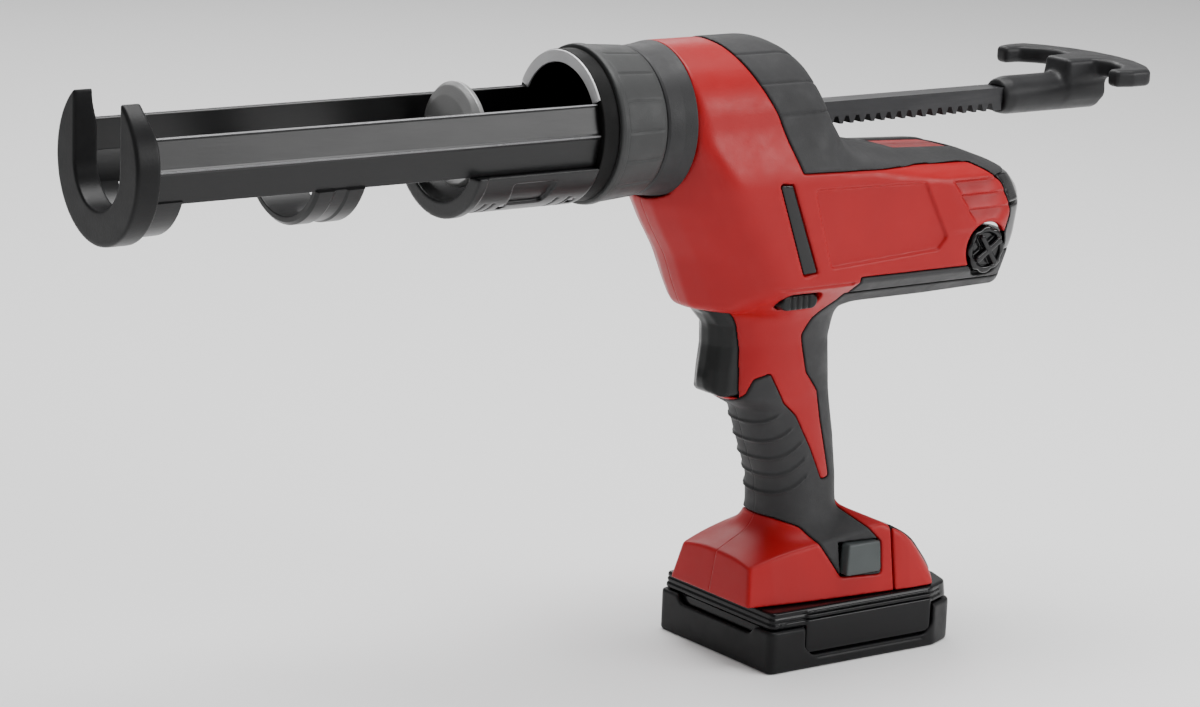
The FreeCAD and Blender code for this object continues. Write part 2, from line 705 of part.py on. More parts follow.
def make_cross_shafts():
    """The upper shaft drives the rack. The lower one carries power up from the bevel gears."""
    module = number("rack_module")
    train = number("train_module")
    slack = 0.12
    upper = shaft_centre("upper_shaft")
    lower = shaft_centre("lower_shaft")
    bore = number("shaft_radius")
    pinion = gear_outline(12, 6 * module, 1.5, 1.7, math.pi * module / 2 - 2 * slack, math.pi / 2)
    shape_node(spur_gear("y", pinion, (-4.5, 4.5), upper, bore), "rack_pinion")
    tooth = math.pi * train / 2 - slack
    wheel = gear_outline(32, 16 * train, 1.2, 1.7, tooth, -math.pi / 2)
    lightening = [rod_shape("y", 4.2, (11, 18), (upper[0] + 14.5 * math.cos(turn),
                                                 upper[1] + 14.5 * math.sin(turn)))
                  for turn in [math.pi * (step + 0.5) / 3 for step in range(6)]]
    shape_node(spur_gear("y", wheel, (12, 17), upper, bore + 0.06).cut(lightening), "clutch_gear")
    small = gear_outline(12, 6 * train, 1.2, 1.7, tooth, math.pi / 2 + math.pi / 12)
    shape_node(spur_gear("y", small, (11.5, 17.5), lower, bore), "idler_pinion")
    node(cylinder("y", "shaft_radius", ("-12", "22"), ("shaft_place", "upper_shaft")), "pinion_shaft")
    node(cylinder("y", "shaft_radius", ("-12", "22"), ("shaft_place", "lower_shaft")), "lay_shaft")
    dogs = [rod_shape("y", 1.8, (10, 11.5), (upper[0] + 6.6 * math.cos(turn), upper[1] + 6.6 * math.sin(turn)))
            for turn in [2 * math.pi * step / 3 for step in range(3)]]
    sleeve = rod_shape("y", 9.0, (5.2, 10), upper).fuse(dogs)
    shape_node(sleeve.cut(rod_shape("y", bore, (4, 12), upper)), "clutch_ring")

    centres = [("shaft_place", "upper_shaft"), ("shaft_place", "lower_shaft")]
    bearings = []
    plates = []
    for span in (("-12", "-8"), ("18.5", "22")):
        for centre in centres:
            bearings.append(ring("y", "bearing_radius", "shaft_radius + 0.05", span, centre))
        plate = box(("shaft_place - 14", "shaft_place + 14"), span, ("lower_shaft - 13", "upper_shaft + 11"))
        holes = [cylinder("y", "bearing_radius + 0.02", ("-30", "30"), centre) for centre in centres]
        plates.append(cut(plate, *holes))
    bearings.append(ring("x", "9", "shaft_radius + 0.05", ("318", "323"), ("0", "lower_shaft")))
    node(fuse(*bearings), "shaft_bearings")
    node(fuse(*plates), "gear_plates")


def make_bevel_gears():
    """Two bevel gears turn the motor's axis through a right angle."""
    module = number("bevel_module")
    place = number("shaft_place")
    height = number("lower_shaft")
    wheel_radius = 12 * module
    pinion_radius = 6 * module
    tooth = math.pi * module / 2 - 0.2
    small = 0.66
    cone = math.atan2(wheel_radius, pinion_radius)
    wheel = gear_outline(24, wheel_radius, 0.8, 1.15, tooth, 0.0, cone)
    loft = Part.makeLoft([face_wire(wheel, "y", pinion_radius, (place, height)),
                          face_wire(wheel, "y", pinion_radius * small, (place, height), small)], True, True)
    back = rod_shape("y", wheel_radius - 1.15 / math.cos(cone), (pinion_radius, 10.8), (place, height))
    wheel_solid = loft.fuse(back)
    shape_node(wheel_solid.cut(rod_shape("y", number("shaft_radius"), (0, 20), (place, height))), "bevel_gear")
    cone = math.atan2(pinion_radius, wheel_radius)
    pinion = gear_outline(12, pinion_radius, 0.8, 1.15, tooth, math.pi / 2 + math.pi / 12, cone)
    loft = Part.makeLoft([face_wire(pinion, "x", place + wheel_radius, (0, height)),
                          face_wire(pinion, "x", place + wheel_radius * small, (0, height), small)], True, True)
    shape_node(loft, "bevel_pinion")


def make_planetary():
    """One planetary stage between the motor and the bevel pinion."""
    module = number("planet_module")
    orbit = number("orbit_radius")
    height = number("lower_shaft")
    tooth = math.pi * module / 2 - 0.06
    tall = 0.8 * module
    deep = 1.05 * module
    pins = []
    for index, label in enumerate(("planet_a", "planet_b", "planet_c")):
        turn = math.pi / 2 + 2 * math.pi * index / 3
        centre = (orbit * math.cos(turn), height + orbit * math.sin(turn))
        corners = gear_outline(18, 9 * module, tall, deep, tooth, turn + math.pi / 18)
        shape_node(spur_gear("x", corners, (328.2, 336.2), centre, 2.06), label)
        pins.append(rod_shape("x", 2.0, (327.4, 337), centre))
    disc = rod_shape("x", 15.2, (323.6, 327.6), (0, height))
    hub = rod_shape("x", number("shaft_radius"), (315, 324), (0, height))
    shape_node(disc.fuse([hub] + pins), "planet_carrier")
    hollow = gear_outline(48, 24 * module, deep, tall, math.pi * module / 2 + 0.06,
                          math.pi / 2 + math.pi / 48)
    case = rod_shape("x", 22.0, (327.9, 337.6), (0, height))
    shape_node(case.cut(spur_gear("x", hollow, (327, 339), (0, height), 0)), "ring_gear")
    sun = gear_outline(12, 6 * module, tall, deep, tooth, math.pi / 2)
    teeth = spur_gear("x", sun, (328.2, 337), (0, height), 0)
    shaft = rod_shape("x", 2.5, (336.5, 412.5), (0, height))
    commutator = rod_shape("x", 5.0, (385, 391), (0, height))
    shape_node(teeth.fuse([shaft, commutator]), "rotor_shaft")


def make_motor():
    """A brushed motor: can, magnets, slotted core, end bell and a fan."""
    centre = ("0", "lower_shaft")
    can = cut(cylinder("x", "19", ("338", "392"), centre), cylinder("x", "17.4", ("339.5", "393"), centre),
              cylinder("x", "5", ("337", "341"), centre))
    node(can, "motor_can")
    arcs = cut(ring("x", "17.35", "13.6", ("345", "385"), centre),
               box(("344", "386"), ("-20", "20"), ("lower_shaft - 3", "lower_shaft + 3")))
    node(arcs, "motor_magnets")
    core = ring("x", "12.9", "2.5", ("347", "383"), centre)
    slots = []
    height = number("lower_shaft")
    for index in range(5):
        turn = 2 * math.pi * index / 5
        place = (str(9.6 * math.cos(turn)), "%g" % (height + 9.6 * math.sin(turn)))
        slots.append(cylinder("x", "2.4", ("346", "384"), place))
    node(cut(core, *slots), "rotor_core")
    bell = cut(fuse(cylinder("x", "19", ("392", "395.5"), centre), cylinder("x", "7", ("395", "402"), centre)),
               cylinder("x", "2.56", ("391", "403"), centre))
    node(bell, "motor_end_bell")
    fan = body("cooling_fan")
    pad(fan, "YZ", [("%g" % (17 * math.cos(turn)), "lower_shaft + %g" % (17 * math.sin(turn)))
                    for turn in [math.pi * step / 12 for step in range(24)]], "1.4", lift="404")
    blade = fan_blade(fan)
    blades = fan.newObject("PartDesign::PolarPattern", "blades")
    blades.Originals = [blade]
    blades.Axis = (blade.Profile[0], ["N_Axis"])
    blades.Angle = 360.0
    blades.Occurrences = 9
    fan.Tip = blades
    doc.recompute()
    hub_hole = fan.newObject("PartDesign::Pocket", "hub_hole")
    outline = sketch_on(fan, "YZ", [("%g" % (2.5 * math.cos(turn)), "lower_shaft + %g" % (2.5 * math.sin(turn)))
                                    for turn in [math.pi * step / 12 for step in range(24)]])
    hub_hole.Profile = outline
    hub_hole.Type = 1
    hub_hole.Midplane = True


def fan_blade(fan):
    """One straight blade. The outline's origin is lowered to the motor's axis for the pattern."""
    sketch = sketch_on(fan, "YZ", [("6", "-0.5"), ("16.5", "-0.5"), ("16.5", "0.5"), ("6", "0.5")])
    sketch.setExpression("AttachmentOffset.Base.z", bound("405"))
    sketch.setExpression("AttachmentOffset.Base.y", bound("lower_shaft"))
    feature = fan.newObject("PartDesign::Pad", "blade")
    feature.Profile = sketch
    bind(feature, Length="6")
    return feature


# ---------------------------------------------------------------- controls

def make_trigger():
    """The trigger slides back into the grip and its stem works the switch."""
    face = [("trigger_front + 2", "trigger_top"), ("trigger_front + 3", "-88"),
            ("trigger_front + 2", "-97"), ("trigger_front + 1", "-107"), ("trigger_front", "-114"),
            ("trigger_front + 3", "-118.5"), ("trigger_front + 8", "trigger_foot"),
            ("trigger_front + 17", "trigger_foot"), ("trigger_front + 17", "trigger_top")]
    side = prism("XZ", face, ("-trigger_half", "trigger_half"))
    plan = prism("XY", both_sides([("trigger_front", "5"), ("trigger_front + 3", "9.5"),
                                   ("trigger_front + 8", "trigger_half"),
                                   ("trigger_front + 18", "trigger_half")]), ("-130", "-70"))
    stem = box(("trigger_front + 16", "trigger_front + 29"), ("-4", "4"), ("-104", "-92"))
    node(fuse(common(side, plan), stem), "trigger")
    node(cut(box(("320", "338"), ("-8", "8"), ("-112", "-88")),
             box(("319", "322"), ("-5", "5"), ("-105", "-91"))), "trigger_switch")


def make_controls():
    reach = number("button_half")
    shape_node(button_prism(0, -reach, reach), "lock_button")
    dial = body("speed_dial")
    lobes = []
    for step in range(48):
        turn = 2 * math.pi * step / 48
        radius = 0.93 + 0.07 * math.cos(8 * turn)
        lobes.append(("dial_place + dial_radius * %.4f" % (radius * math.cos(turn)),
                      "dial_height + dial_radius * %.4f" % (radius * math.sin(turn))))
    pad(dial, "XZ", lobes, "9.4", lift="29.4")
    spindle = [("dial_place + %.4f" % (2.9 * math.cos(turn)), "dial_height + %.4f" % (2.9 * math.sin(turn)))
               for turn in [math.pi * step / 8 for step in range(16)]]
    pad(dial, "XZ", spindle, "8", lift="22")
    node(box(("dial_place - 8", "dial_place + 8"), ("-21.6", "-19.6"),
             ("dial_height - 8", "dial_height + 8")), "dial_switch")
    node(box(("322", "360"), ("-17", "17"), ("-189", "-187.4")), "control_board")
    node(box(("298.5", "304"), ("-18", "18"), ("-203", "-197")), "terminal_block")
    for label, side in (("left_latch", -1), ("right_latch", 1)):
        plate = prism("XZ", [("339", "-196"), ("355", "-196"), ("355", "-183"), ("341", "-183")],
                      sorted_span(side, 29.5, 34.6))
        tail = box(("343", "351"), sorted_span(side, 23.4, 30), ("-193", "-187"))
        node(fuse(plate, tail), label)


# ---------------------------------------------------------------- battery

def tray_plan(wall):
    """The tray's outline, with the back corners rounded off, a wall's thickness further in."""
    half = "pack_half - %s" % wall
    return both_sides([("pack_front + %s" % wall, half + " - 2.5"), ("pack_front + 2.5 + %s" % wall, half),
                       ("pack_back - 17", half), ("pack_back - 6.5 - %s * 0.7" % wall, half + " - 4.5"),
                       ("pack_back - 1.5 - %s" % wall, half + " - 12"),
                       ("pack_back - %s" % wall, half + " - 19")])


def make_battery():
    """A slide pack: glossy case, matt tray with corner guards, and five cells lying across."""
    top = prism("XY", both_sides([("294.5", "28"), ("300", "34.5"), ("307", "36.6"),
                                  ("387", "37"), ("396", "31"), ("400.5", "18")]), ("-213", "pack_top"))
    lower = prism("XY", tray_plan("2.3"), ("pack_bottom + 2.6", "-212.9"))
    tongue = box(("306", "392"), ("-22", "22"), ("pack_top - 0.1", "-196.2"))
    room = box(("301.5", "393"), ("-34", "34"), ("pack_bottom + 2", "-209.5"))
    node(cut(fuse(top, lower, tongue), room), "battery_case")
    shell = prism("XY", tray_plan("0"), ("pack_bottom", "-213.6"))
    inside = prism("XY", tray_plan("2.25"), ("pack_bottom + 2.5", "-200"))
    side_gap = box(("pack_front + 17", "pack_back - 17"), ("-50", "50"), ("-226", "-200"))
    front_dip = box(("pack_front - 5", "pack_front + 5"), ("-26", "26"), ("-218", "-200"))
    rear_dip = box(("pack_back - 5", "pack_back + 5"), ("-26", "26"), ("-218", "-200"))
    node(cut(shell, inside, side_gap, front_dip, rear_dip), "battery_tray")
    cells = []
    for index in range(5):
        place = "310.7 + %d * 2.03 * cell_radius" % index
        cells.append(cylinder("y", "cell_radius", ("-32.5", "32.5"), (place, "-219.3")))
    node(fuse(*cells), "battery_cells")


def main():
    make_carriage()
    make_collar()
    make_shells()
    make_bushings()
    make_rod()
    make_piston()
    make_handle()
    make_cross_shafts()
    make_bevel_gears()
    make_planetary()
    make_motor()
    make_trigger()
    make_controls()
    make_battery()
    doc.recompute()

    for item in doc.Objects:
        if "Invalid" in item.State or "Error" in item.State:
            raise RuntimeError("%s did not recompute: %s" % (item.Label, item.State))
    os.makedirs("parts", exist_ok=True)
    for item in nodes:
        if item.Shape.isNull() or not item.Shape.isValid():
            raise RuntimeError("%s has no valid shape" % item.Label)
        item.Shape.exportStep("parts/%s.step" % item.Label)
        print("%-18s %2d solid(s) %10.1f mm3" % (item.Label, len(item.Shape.Solids), item.Shape.Volume))
    print("%d nodes" % len(nodes))


main()
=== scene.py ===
import json
import math

import bmesh
import bpy
import numpy as np
from mathutils import Matrix, Vector


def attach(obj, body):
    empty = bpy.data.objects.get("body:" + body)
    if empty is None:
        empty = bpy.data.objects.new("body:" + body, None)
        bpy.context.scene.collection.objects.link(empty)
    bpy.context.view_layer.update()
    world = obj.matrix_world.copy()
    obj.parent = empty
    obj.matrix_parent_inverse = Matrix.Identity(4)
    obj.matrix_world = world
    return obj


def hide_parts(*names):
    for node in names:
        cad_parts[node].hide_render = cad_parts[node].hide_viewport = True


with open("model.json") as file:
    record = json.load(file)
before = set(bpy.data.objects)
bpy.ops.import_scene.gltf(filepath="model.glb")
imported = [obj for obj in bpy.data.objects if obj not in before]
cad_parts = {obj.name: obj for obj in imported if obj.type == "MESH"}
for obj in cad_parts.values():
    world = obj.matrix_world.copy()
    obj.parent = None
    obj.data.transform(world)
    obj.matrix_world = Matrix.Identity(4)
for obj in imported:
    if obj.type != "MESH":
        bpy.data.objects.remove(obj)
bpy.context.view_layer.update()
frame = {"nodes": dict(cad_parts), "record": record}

# Battery caulking gun. Shapes are written in the tool's own layout, in mm: u runs back from the
# nose cap's front face, y is across with the dial on -y, and w is height above the barrel's axis.
NODES = frame["nodes"]
TO_FRAME = np.array((-346.0, 0.0, 232.0))
MM = 0.001
FINE = 0.6  # sampling step of the largest solids, in mm
TURN = 2 * math.pi
MOST_TRIANGLES = 185000
SIDES = (("right", False), ("left", True))  # solids are built on +y, and mirrored for the left


# --- meshes

def framed(points):
    """Places layout points, in mm, in the frame, in metres."""
    return (np.asarray(points, float) + TO_FRAME) * MM


def mesh_object(name, points, faces):
    """A smooth-shaded object from layout points and faces, an array of quads or a list."""
    mesh = bpy.data.meshes.new(name)
    places = framed(points)
    if isinstance(faces, np.ndarray):
        mesh.vertices.add(len(places))
        mesh.vertices.foreach_set("co", places.astype(np.float32).ravel())
        mesh.loops.add(faces.size)
        mesh.loops.foreach_set("vertex_index", faces.astype(np.int32).ravel())
        mesh.polygons.add(len(faces))
        mesh.polygons.foreach_set("loop_start", np.arange(0, faces.size, faces.shape[1],
                                                          dtype=np.int32))
        mesh.update(calc_edges=True)
    else:
        mesh.from_pydata([tuple(p) for p in places], [], faces)
    mesh.polygons.foreach_set("use_smooth", np.ones(len(mesh.polygons), bool))
    mesh.update()
    item = bpy.data.objects.new(name, mesh)
    bpy.context.scene.collection.objects.link(item)
    return item


def finish_piece(item, slot, body, *replaces, material=None):
    """Puts the finish of a piece's record slot on it, or the material given instead, attaches it to
    its body and hides the CAD nodes it stands for.
    """
    item.data.materials.clear()
    item.data.materials.append(material or SLOT_FINISH[slot])
    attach(item, body)
    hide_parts(*replaces)
    return item


def flat_shading(item):
    """Lets large flat faces keep their own normals beside small rounded edges."""
    weighted = item.modifiers.new("weighted", "WEIGHTED_NORMAL")
    weighted.weight = 80
    weighted.keep_sharp = True
    return item


# --- solid fields

def ease(value):
    t = np.clip(value, 0.0, 1.0)
    return t * t * (3 - 2 * t)


def both(a, b, k):
    """The overlap of two solids, with an edge rounded over about k."""
    h = np.clip(0.5 + 0.5 * (a - b) / k, 0, 1)
    return b + (a - b) * h + k * h * (1 - h)


def join(a, b, k):
    """Two solids together, with a fillet of about k."""
    return -both(-a, -b, k)


def rounded(corners, radius, steps=6):
    """Rounds the corners of a closed outline. A corner may have its own radius as a third value."""
    result = []
    count = len(corners)
    for index, corner in enumerate(corners):
        here = Vector(corner[:2])
        before = Vector(corners[index - 1][:2]) - here
        after = Vector(corners[(index + 1) % count][:2]) - here
        own = corner[2] if len(corner) > 2 else radius
        angle = before.angle(after)
        if own <= 0 or angle > 3.1:
            result.append(tuple(here))
            continue
        reach = min(own / math.tan(angle / 2), 0.48 * before.length, 0.48 * after.length)
        first = here + before.normalized() * reach
        last = here + after.normalized() * reach
        for step in range(steps + 1):
            t = step / steps
            result.append(tuple(first * (1 - t) ** 2 + here * 2 * t * (1 - t) + last * t * t))
    return result


def outline(a, b, corners):
    """Distance to a closed outline in the plane of two coordinates, negative inside."""
    nearest = np.float32(1e9)
    inside = np.zeros(np.broadcast_shapes(a.shape, b.shape), bool)
    for index, (pa, pb) in enumerate(corners):
        qa, qb = corners[index - 1]
        ea, eb = qa - pa, qb - pb
        long = ea * ea + eb * eb
        if long < 1e-9:
            continue
        da, db = a - pa, b - pb
        t = np.clip((da * ea + db * eb) / long, 0, 1)
        nearest = np.minimum(nearest, (da - ea * t) ** 2 + (db - eb * t) ** 2)
        crosses = (b >= pb) != (b >= qb)
        inside ^= crosses & ((da * eb < ea * db) == (eb > 0))
    distance = np.sqrt(nearest)
    return np.where(inside, -distance, distance).astype(np.float32)


def slab(value, low, high):
    return np.maximum(low - value, value - high)


def block(u, y, w, spans, radius=0.8):
    """A block with rounded edges between three pairs of limits."""
    shape = both(slab(u, *spans[0]), slab(y, *spans[1]), radius)
    return both(shape, slab(w, *spans[2]), radius)


def disc(a, b, centre, radius):
    return np.sqrt((a - centre[0]) ** 2 + (b - centre[1]) ** 2) - radius


CORNERS = [(i, j, k) for i in (0, 1) for j in (0, 1) for k in (0, 1)]


def surface_net(field):
    """Points, in cells, and quads of the surface where a sampled field crosses zero."""
    inside = field < 0
    count = np.zeros([n - 1 for n in field.shape], np.uint8)
    for corner in CORNERS:
        count += inside[tuple(slice(c, c - 1 or None) for c in corner)]
    active = (count > 0) & (count < 8)
    cells = np.argwhere(active)
    index = np.full(active.shape, -1, np.int32)
    index[active] = np.arange(len(cells), dtype=np.int32)
    values = np.stack([field[tuple((cells + c).T)] for c in CORNERS], 1)
    total = np.zeros((len(cells), 3))
    hits = np.zeros(len(cells))
    for first, one in enumerate(CORNERS):
        for second, two in enumerate(CORNERS):
            if second <= first or sum(abs(p - q) for p, q in zip(one, two)) != 1:
                continue
            va, vb = values[:, first], values[:, second]
            crossed = (va < 0) != (vb < 0)
            t = np.where(crossed, va / np.where(crossed, va - vb, 1), 0)
            place = np.array(one) + (np.array(two) - np.array(one)) * t[:, None]
            total[crossed] += place[crossed]
            hits += crossed
    local = total / hits[:, None]
    for _ in range(2):  # moves each point onto the surface along the field's slope
        amount = np.zeros(len(cells))
        slope = np.zeros((len(cells), 3))
        for number, corner in enumerate(CORNERS):
            parts = [local[:, axis] if corner[axis] else 1 - local[:, axis] for axis in range(3)]
            amount += values[:, number] * parts[0] * parts[1] * parts[2]
            for axis in range(3):
                others = [parts[other] for other in range(3) if other != axis]
                sign = 1 if corner[axis] else -1
                slope[:, axis] += sign * values[:, number] * others[0] * others[1]
        steep = np.maximum((slope ** 2).sum(1), 1e-9)
        move = slope * (amount / steep)[:, None]
        length = np.sqrt((move ** 2).sum(1))
        move *= np.minimum(1, 0.35 / np.maximum(length, 1e-9))[:, None]
        local = np.clip(local - move, 0.02, 0.98)
    quads = []
    for axis in range(3):
        low = [slice(None)] * 3
        high = [slice(None)] * 3
        low[axis] = slice(0, -1)
        high[axis] = slice(1, None)
        change = inside[tuple(low)] != inside[tuple(high)]
        edges = np.argwhere(change)
        second, third = (axis + 1) % 3, (axis + 2) % 3
        fits = (edges[:, second] > 0) & (edges[:, third] > 0)
        fits &= (edges[:, second] < active.shape[second]) & (edges[:, third] < active.shape[third])
        edges = edges[fits]
        step_b = np.eye(3, dtype=int)[second]
        step_c = np.eye(3, dtype=int)[third]
        ring = [edges - step_b - step_c, edges - step_c, edges, edges - step_b]
        ring = np.stack([index[tuple(part.T)] for part in ring], 1)
        outward = inside[tuple(low)][tuple(edges.T)]
        ring[~outward] = ring[~outward][:, ::-1]
        quads.append(ring)
    return cells + local, np.concatenate(quads)


def meet_middle(item, step):
    """Carries the faces of one half straight to the middle, so two halves meet flush."""
    points = np.empty(len(item.data.vertices) * 3, np.float32)
    item.data.vertices.foreach_get("co", points)
    points = points.reshape(-1, 3)
    edges = np.empty(len(item.data.edges) * 2, np.int32)
    item.data.edges.foreach_get("vertices", edges)
    edges = edges.reshape(-1, 2)
    near = np.abs(points[:, 1]) < 0.5 * step * MM
    for first, second in ((0, 1), (1, 0)):
        pick = near[edges[:, first]] & ~near[edges[:, second]]
        points[edges[pick, first], 0] = points[edges[pick, second], 0]
        points[edges[pick, first], 2] = points[edges[pick, second], 2]
    points[near, 1] = 0
    item.data.vertices.foreach_set("co", points.ravel())
    item.data.update()


def thin_out(item):
    """Merges triangles on the flattest areas of a very dense piece."""
    triangles = 2 * len(item.data.polygons)
    if triangles > MOST_TRIANGLES:
        merge = item.modifiers.new("merge", "DECIMATE")
        merge.ratio = MOST_TRIANGLES / triangles


def axes_for(lows, highs, fineness=1.0):
    """Three sample axes that reach past a box, shaped so that they combine into a grid."""
    step = FINE * fineness
    axes = []
    for number, (low, high) in enumerate(zip(lows, highs)):
        line = np.arange(low - 2.5 * step, high + 2.5 * step, step, dtype=np.float32)
        axes.append(line.reshape([-1 if number == axis else 1 for axis in range(3)]))
    return axes


def solid_mesh(name, axes, field, mirror=False):
    """Meshes a sampled solid. Mirror swaps the sides, from +y to -y."""
    shape = [axis.size for axis in axes]
    sampled = np.ascontiguousarray(np.broadcast_to(field, shape), dtype=np.float32)
    points, quads = surface_net(sampled)
    origin = np.array([axis.ravel()[0] for axis in axes])
    step = axes[0].ravel()[1] - axes[0].ravel()[0]
    points = points * step + origin
    if mirror:
        points[:, 1] *= -1
        quads = quads[:, ::-1]
    return mesh_object(name, points, np.ascontiguousarray(quads))


# --- materials

GRAIN_DEPTH = 0.12 * MM


def add_node(tree, kind, values, source=None, socket="Vector"):
    """A shader node with its input values set, and one input fed by another node."""
    made = tree.nodes.new("ShaderNode" + kind)
    for name, value in values.items():
        made.inputs[name].default_value = value
    if source is not None:
        tree.links.new(source, made.inputs[socket])
    return made


def new_material(name, colour, roughness, metallic=0.0, **extra):
    """A procedural finish: mottled colour, uneven gloss, fine grain and faint handling marks.

    grain and grain_size set the moulded or brushed texture, in strength and mm. mottle is how far
    the colour wanders, and wear lightens patches where hands and cloths rub."""
    mottle = extra.get("mottle", 0.12)
    wear = extra.get("wear", 0.15)
    material = bpy.data.materials.new(name)
    material.use_nodes = True
    tree = material.node_tree
    nodes, links = tree.nodes, tree.links
    shader = nodes["Principled BSDF"]
    shader.inputs["Metallic"].default_value = metallic
    shader.inputs["IOR"].default_value = 1.48
    shader.inputs["Coat Weight"].default_value = extra.get("coat", 0.0)
    shader.inputs["Coat Roughness"].default_value = extra.get("coat_roughness", 0.1)
    shader.inputs["Specular IOR Level"].default_value = extra.get("specular", 0.5)

    place = nodes.new("ShaderNodeTexCoord").outputs["Object"]
    stretched = add_node(tree, "Mapping", {"Scale": extra.get("stretch", (1, 1, 1))}, place)
    stretched = stretched.outputs["Vector"]

    def noise(size_mm, detail, rough, source):
        values = {"Scale": 1000.0 / size_mm, "Detail": detail, "Roughness": rough}
        return add_node(tree, "TexNoise", values, source).outputs["Fac"]

    def ramp(value, low, high, first, last):
        values = {"From Min": low, "From Max": high, "To Min": first, "To Max": last}
        return add_node(tree, "MapRange", values, value, "Value").outputs["Result"]

    cloudy = noise(28.0, 3.0, 0.55, place)
    smears = noise(9.0, 4.0, 0.65, stretched)
    grains = noise(extra.get("grain_size", 0.5), 2.0, 0.5, stretched)

    shade = nodes.new("ShaderNodeMix")
    shade.data_type = "RGBA"
    shade.inputs[6].default_value = tuple(c * (1 - mottle) for c in colour) + (1,)
    shade.inputs[7].default_value = tuple(min(1, c * (1 + mottle)) for c in colour) + (1,)
    links.new(ramp(cloudy, 0.3, 0.7, 0, 1), shade.inputs[0])
    worn = nodes.new("ShaderNodeMix")
    worn.data_type = "RGBA"
    lighter = extra.get("worn_colour", tuple(min(1, c * 1.3 + 0.004) for c in colour))
    worn.inputs[7].default_value = tuple(lighter) + (1,)
    links.new(shade.outputs[2], worn.inputs[6])
    links.new(ramp(smears, 0.52, 0.74, 0, wear), worn.inputs[0])
    links.new(worn.outputs[2], shader.inputs["Base Color"])

    spread = extra.get("gloss_spread", 0.08)
    links.new(ramp(smears, 0.3, 0.7, roughness + spread, max(0.03, roughness - spread)),
              shader.inputs["Roughness"])
    values = {"Strength": extra.get("grain", 0.25), "Distance": GRAIN_DEPTH}
    bump = add_node(tree, "Bump", values, grains, "Height")
    links.new(bump.outputs["Normal"], shader.inputs["Normal"])
    return material


RED = new_material("red_moulding", (0.34, 0.006, 0.009), 0.40, grain=0.22, grain_size=0.7,
                   mottle=0.05, wear=0.10, worn_colour=(0.40, 0.02, 0.022), specular=0.24)
RUBBER = new_material("grip_rubber", (0.030, 0.030, 0.031), 0.60, grain=0.5, grain_size=0.55,
                      mottle=0.10, wear=0.25, specular=0.26)
COLLAR = new_material("collar_moulding", (0.034, 0.035, 0.035), 0.50, grain=0.35,
                      mottle=0.10, specular=0.32)
SEAT = new_material("seat_moulding", (0.022, 0.022, 0.023), 0.52, grain=0.4, specular=0.3)
PAINT = new_material("black_coat", (0.005, 0.005, 0.0055), 0.33, grain=0.25, grain_size=1.1,
                     mottle=0.15, wear=0.08, specular=0.36, gloss_spread=0.02, stretch=(0.15, 1, 1))
# Painted highlight: a lighter grey for thin strips along the rails' ridge and top edge. It stands
# for the lines of light that those edges catch.
RAIL_EDGE_HIGHLIGHT = new_material("painted_edge_highlight", (0.16, 0.16, 0.165), 0.28, metallic=0.4, grain=0.2,
                           stretch=(0.2, 1, 1), worn_colour=(0.3, 0.3, 0.3), wear=0.4)
NOSE = new_material("nose_coat", (0.007, 0.007, 0.0075), 0.38, grain=0.3, grain_size=0.9,
                    mottle=0.12, wear=0.12, specular=0.20, gloss_spread=0.04)
BORE = new_material("bore_coat", (0.003, 0.003, 0.003), 0.6, grain=0.3, grain_size=0.9,
                    specular=0.15)
# Painted highlight: a light grey for the top arc of the rear ring's front face. The ring itself is
# black, and this grey stands for the light that its top catches from above.
RING_FACE_HIGHLIGHT = new_material("ring_face_painted_highlight", (0.62, 0.62, 0.63), 0.38, metallic=0.2, grain=0.35, grain_size=0.8,
                    mottle=0.08, worn_colour=(0.72, 0.72, 0.72))
PISTON = new_material("cast_piston", (0.30, 0.30, 0.30), 0.36, metallic=0.75, grain=0.4,
                      grain_size=0.7, mottle=0.07, worn_colour=(0.5, 0.5, 0.5))
ROD = new_material("blackened_steel", (0.030, 0.030, 0.032), 0.36, metallic=0.35, grain=0.35,
                   grain_size=0.6, stretch=(0.1, 1, 1), worn_colour=(0.25, 0.25, 0.25), wear=0.10,
                   specular=0.35)
HANDLE = new_material("handle_moulding", (0.014, 0.014, 0.015), 0.44, grain=0.35, grain_size=0.6,
                      specular=0.26)
TRIGGER = new_material("trigger_moulding", (0.006, 0.0065, 0.0065), 0.34, grain=0.18,
                       specular=0.26)
TRIM = new_material("gloss_trim", (0.004, 0.004, 0.0045), 0.16, grain=0.08, grain_size=0.8,
                    coat=0.2, coat_roughness=0.08, specular=0.3)
PACK_GLOSS = new_material("pack_gloss", (0.0035, 0.0035, 0.004), 0.18, grain=0.05, grain_size=1.0,
                          gloss_spread=0.05, specular=0.22)
PACK_MATT = new_material("pack_matt", (0.007, 0.007, 0.0075), 0.42, grain=0.4, grain_size=0.6,
                         specular=0.18)
LATCH = new_material("latch_moulding", (0.052, 0.060, 0.060), 0.46, grain=0.3, specular=0.3)
STEEL = new_material("machined_steel", (0.45, 0.45, 0.46), 0.32, metallic=1.0, grain=0.3,
                     grain_size=0.3, worn_colour=(0.6, 0.6, 0.6))
SCREW = new_material("screw_steel", (0.30, 0.30, 0.31), 0.34, metallic=1.0, grain=0.25,
                     grain_size=0.25, worn_colour=(0.5, 0.5, 0.5))
BRONZE = new_material("sintered_bronze", (0.36, 0.23, 0.09), 0.45, metallic=0.9, grain=0.5,
                      grain_size=0.2)
MAGNET = new_material("ferrite", (0.06, 0.06, 0.062), 0.6, grain=0.5, grain_size=0.3)
FRAME_GREY = new_material("inner_moulding", (0.15, 0.15, 0.155), 0.5, grain=0.3)
BOARD = new_material("circuit_board", (0.015, 0.10, 0.04), 0.35, grain=0.3, grain_size=0.9)
WRAP = new_material("cell_wrap", (0.10, 0.16, 0.26), 0.3, grain=0.15, grain_size=1.5, coat=0.3)

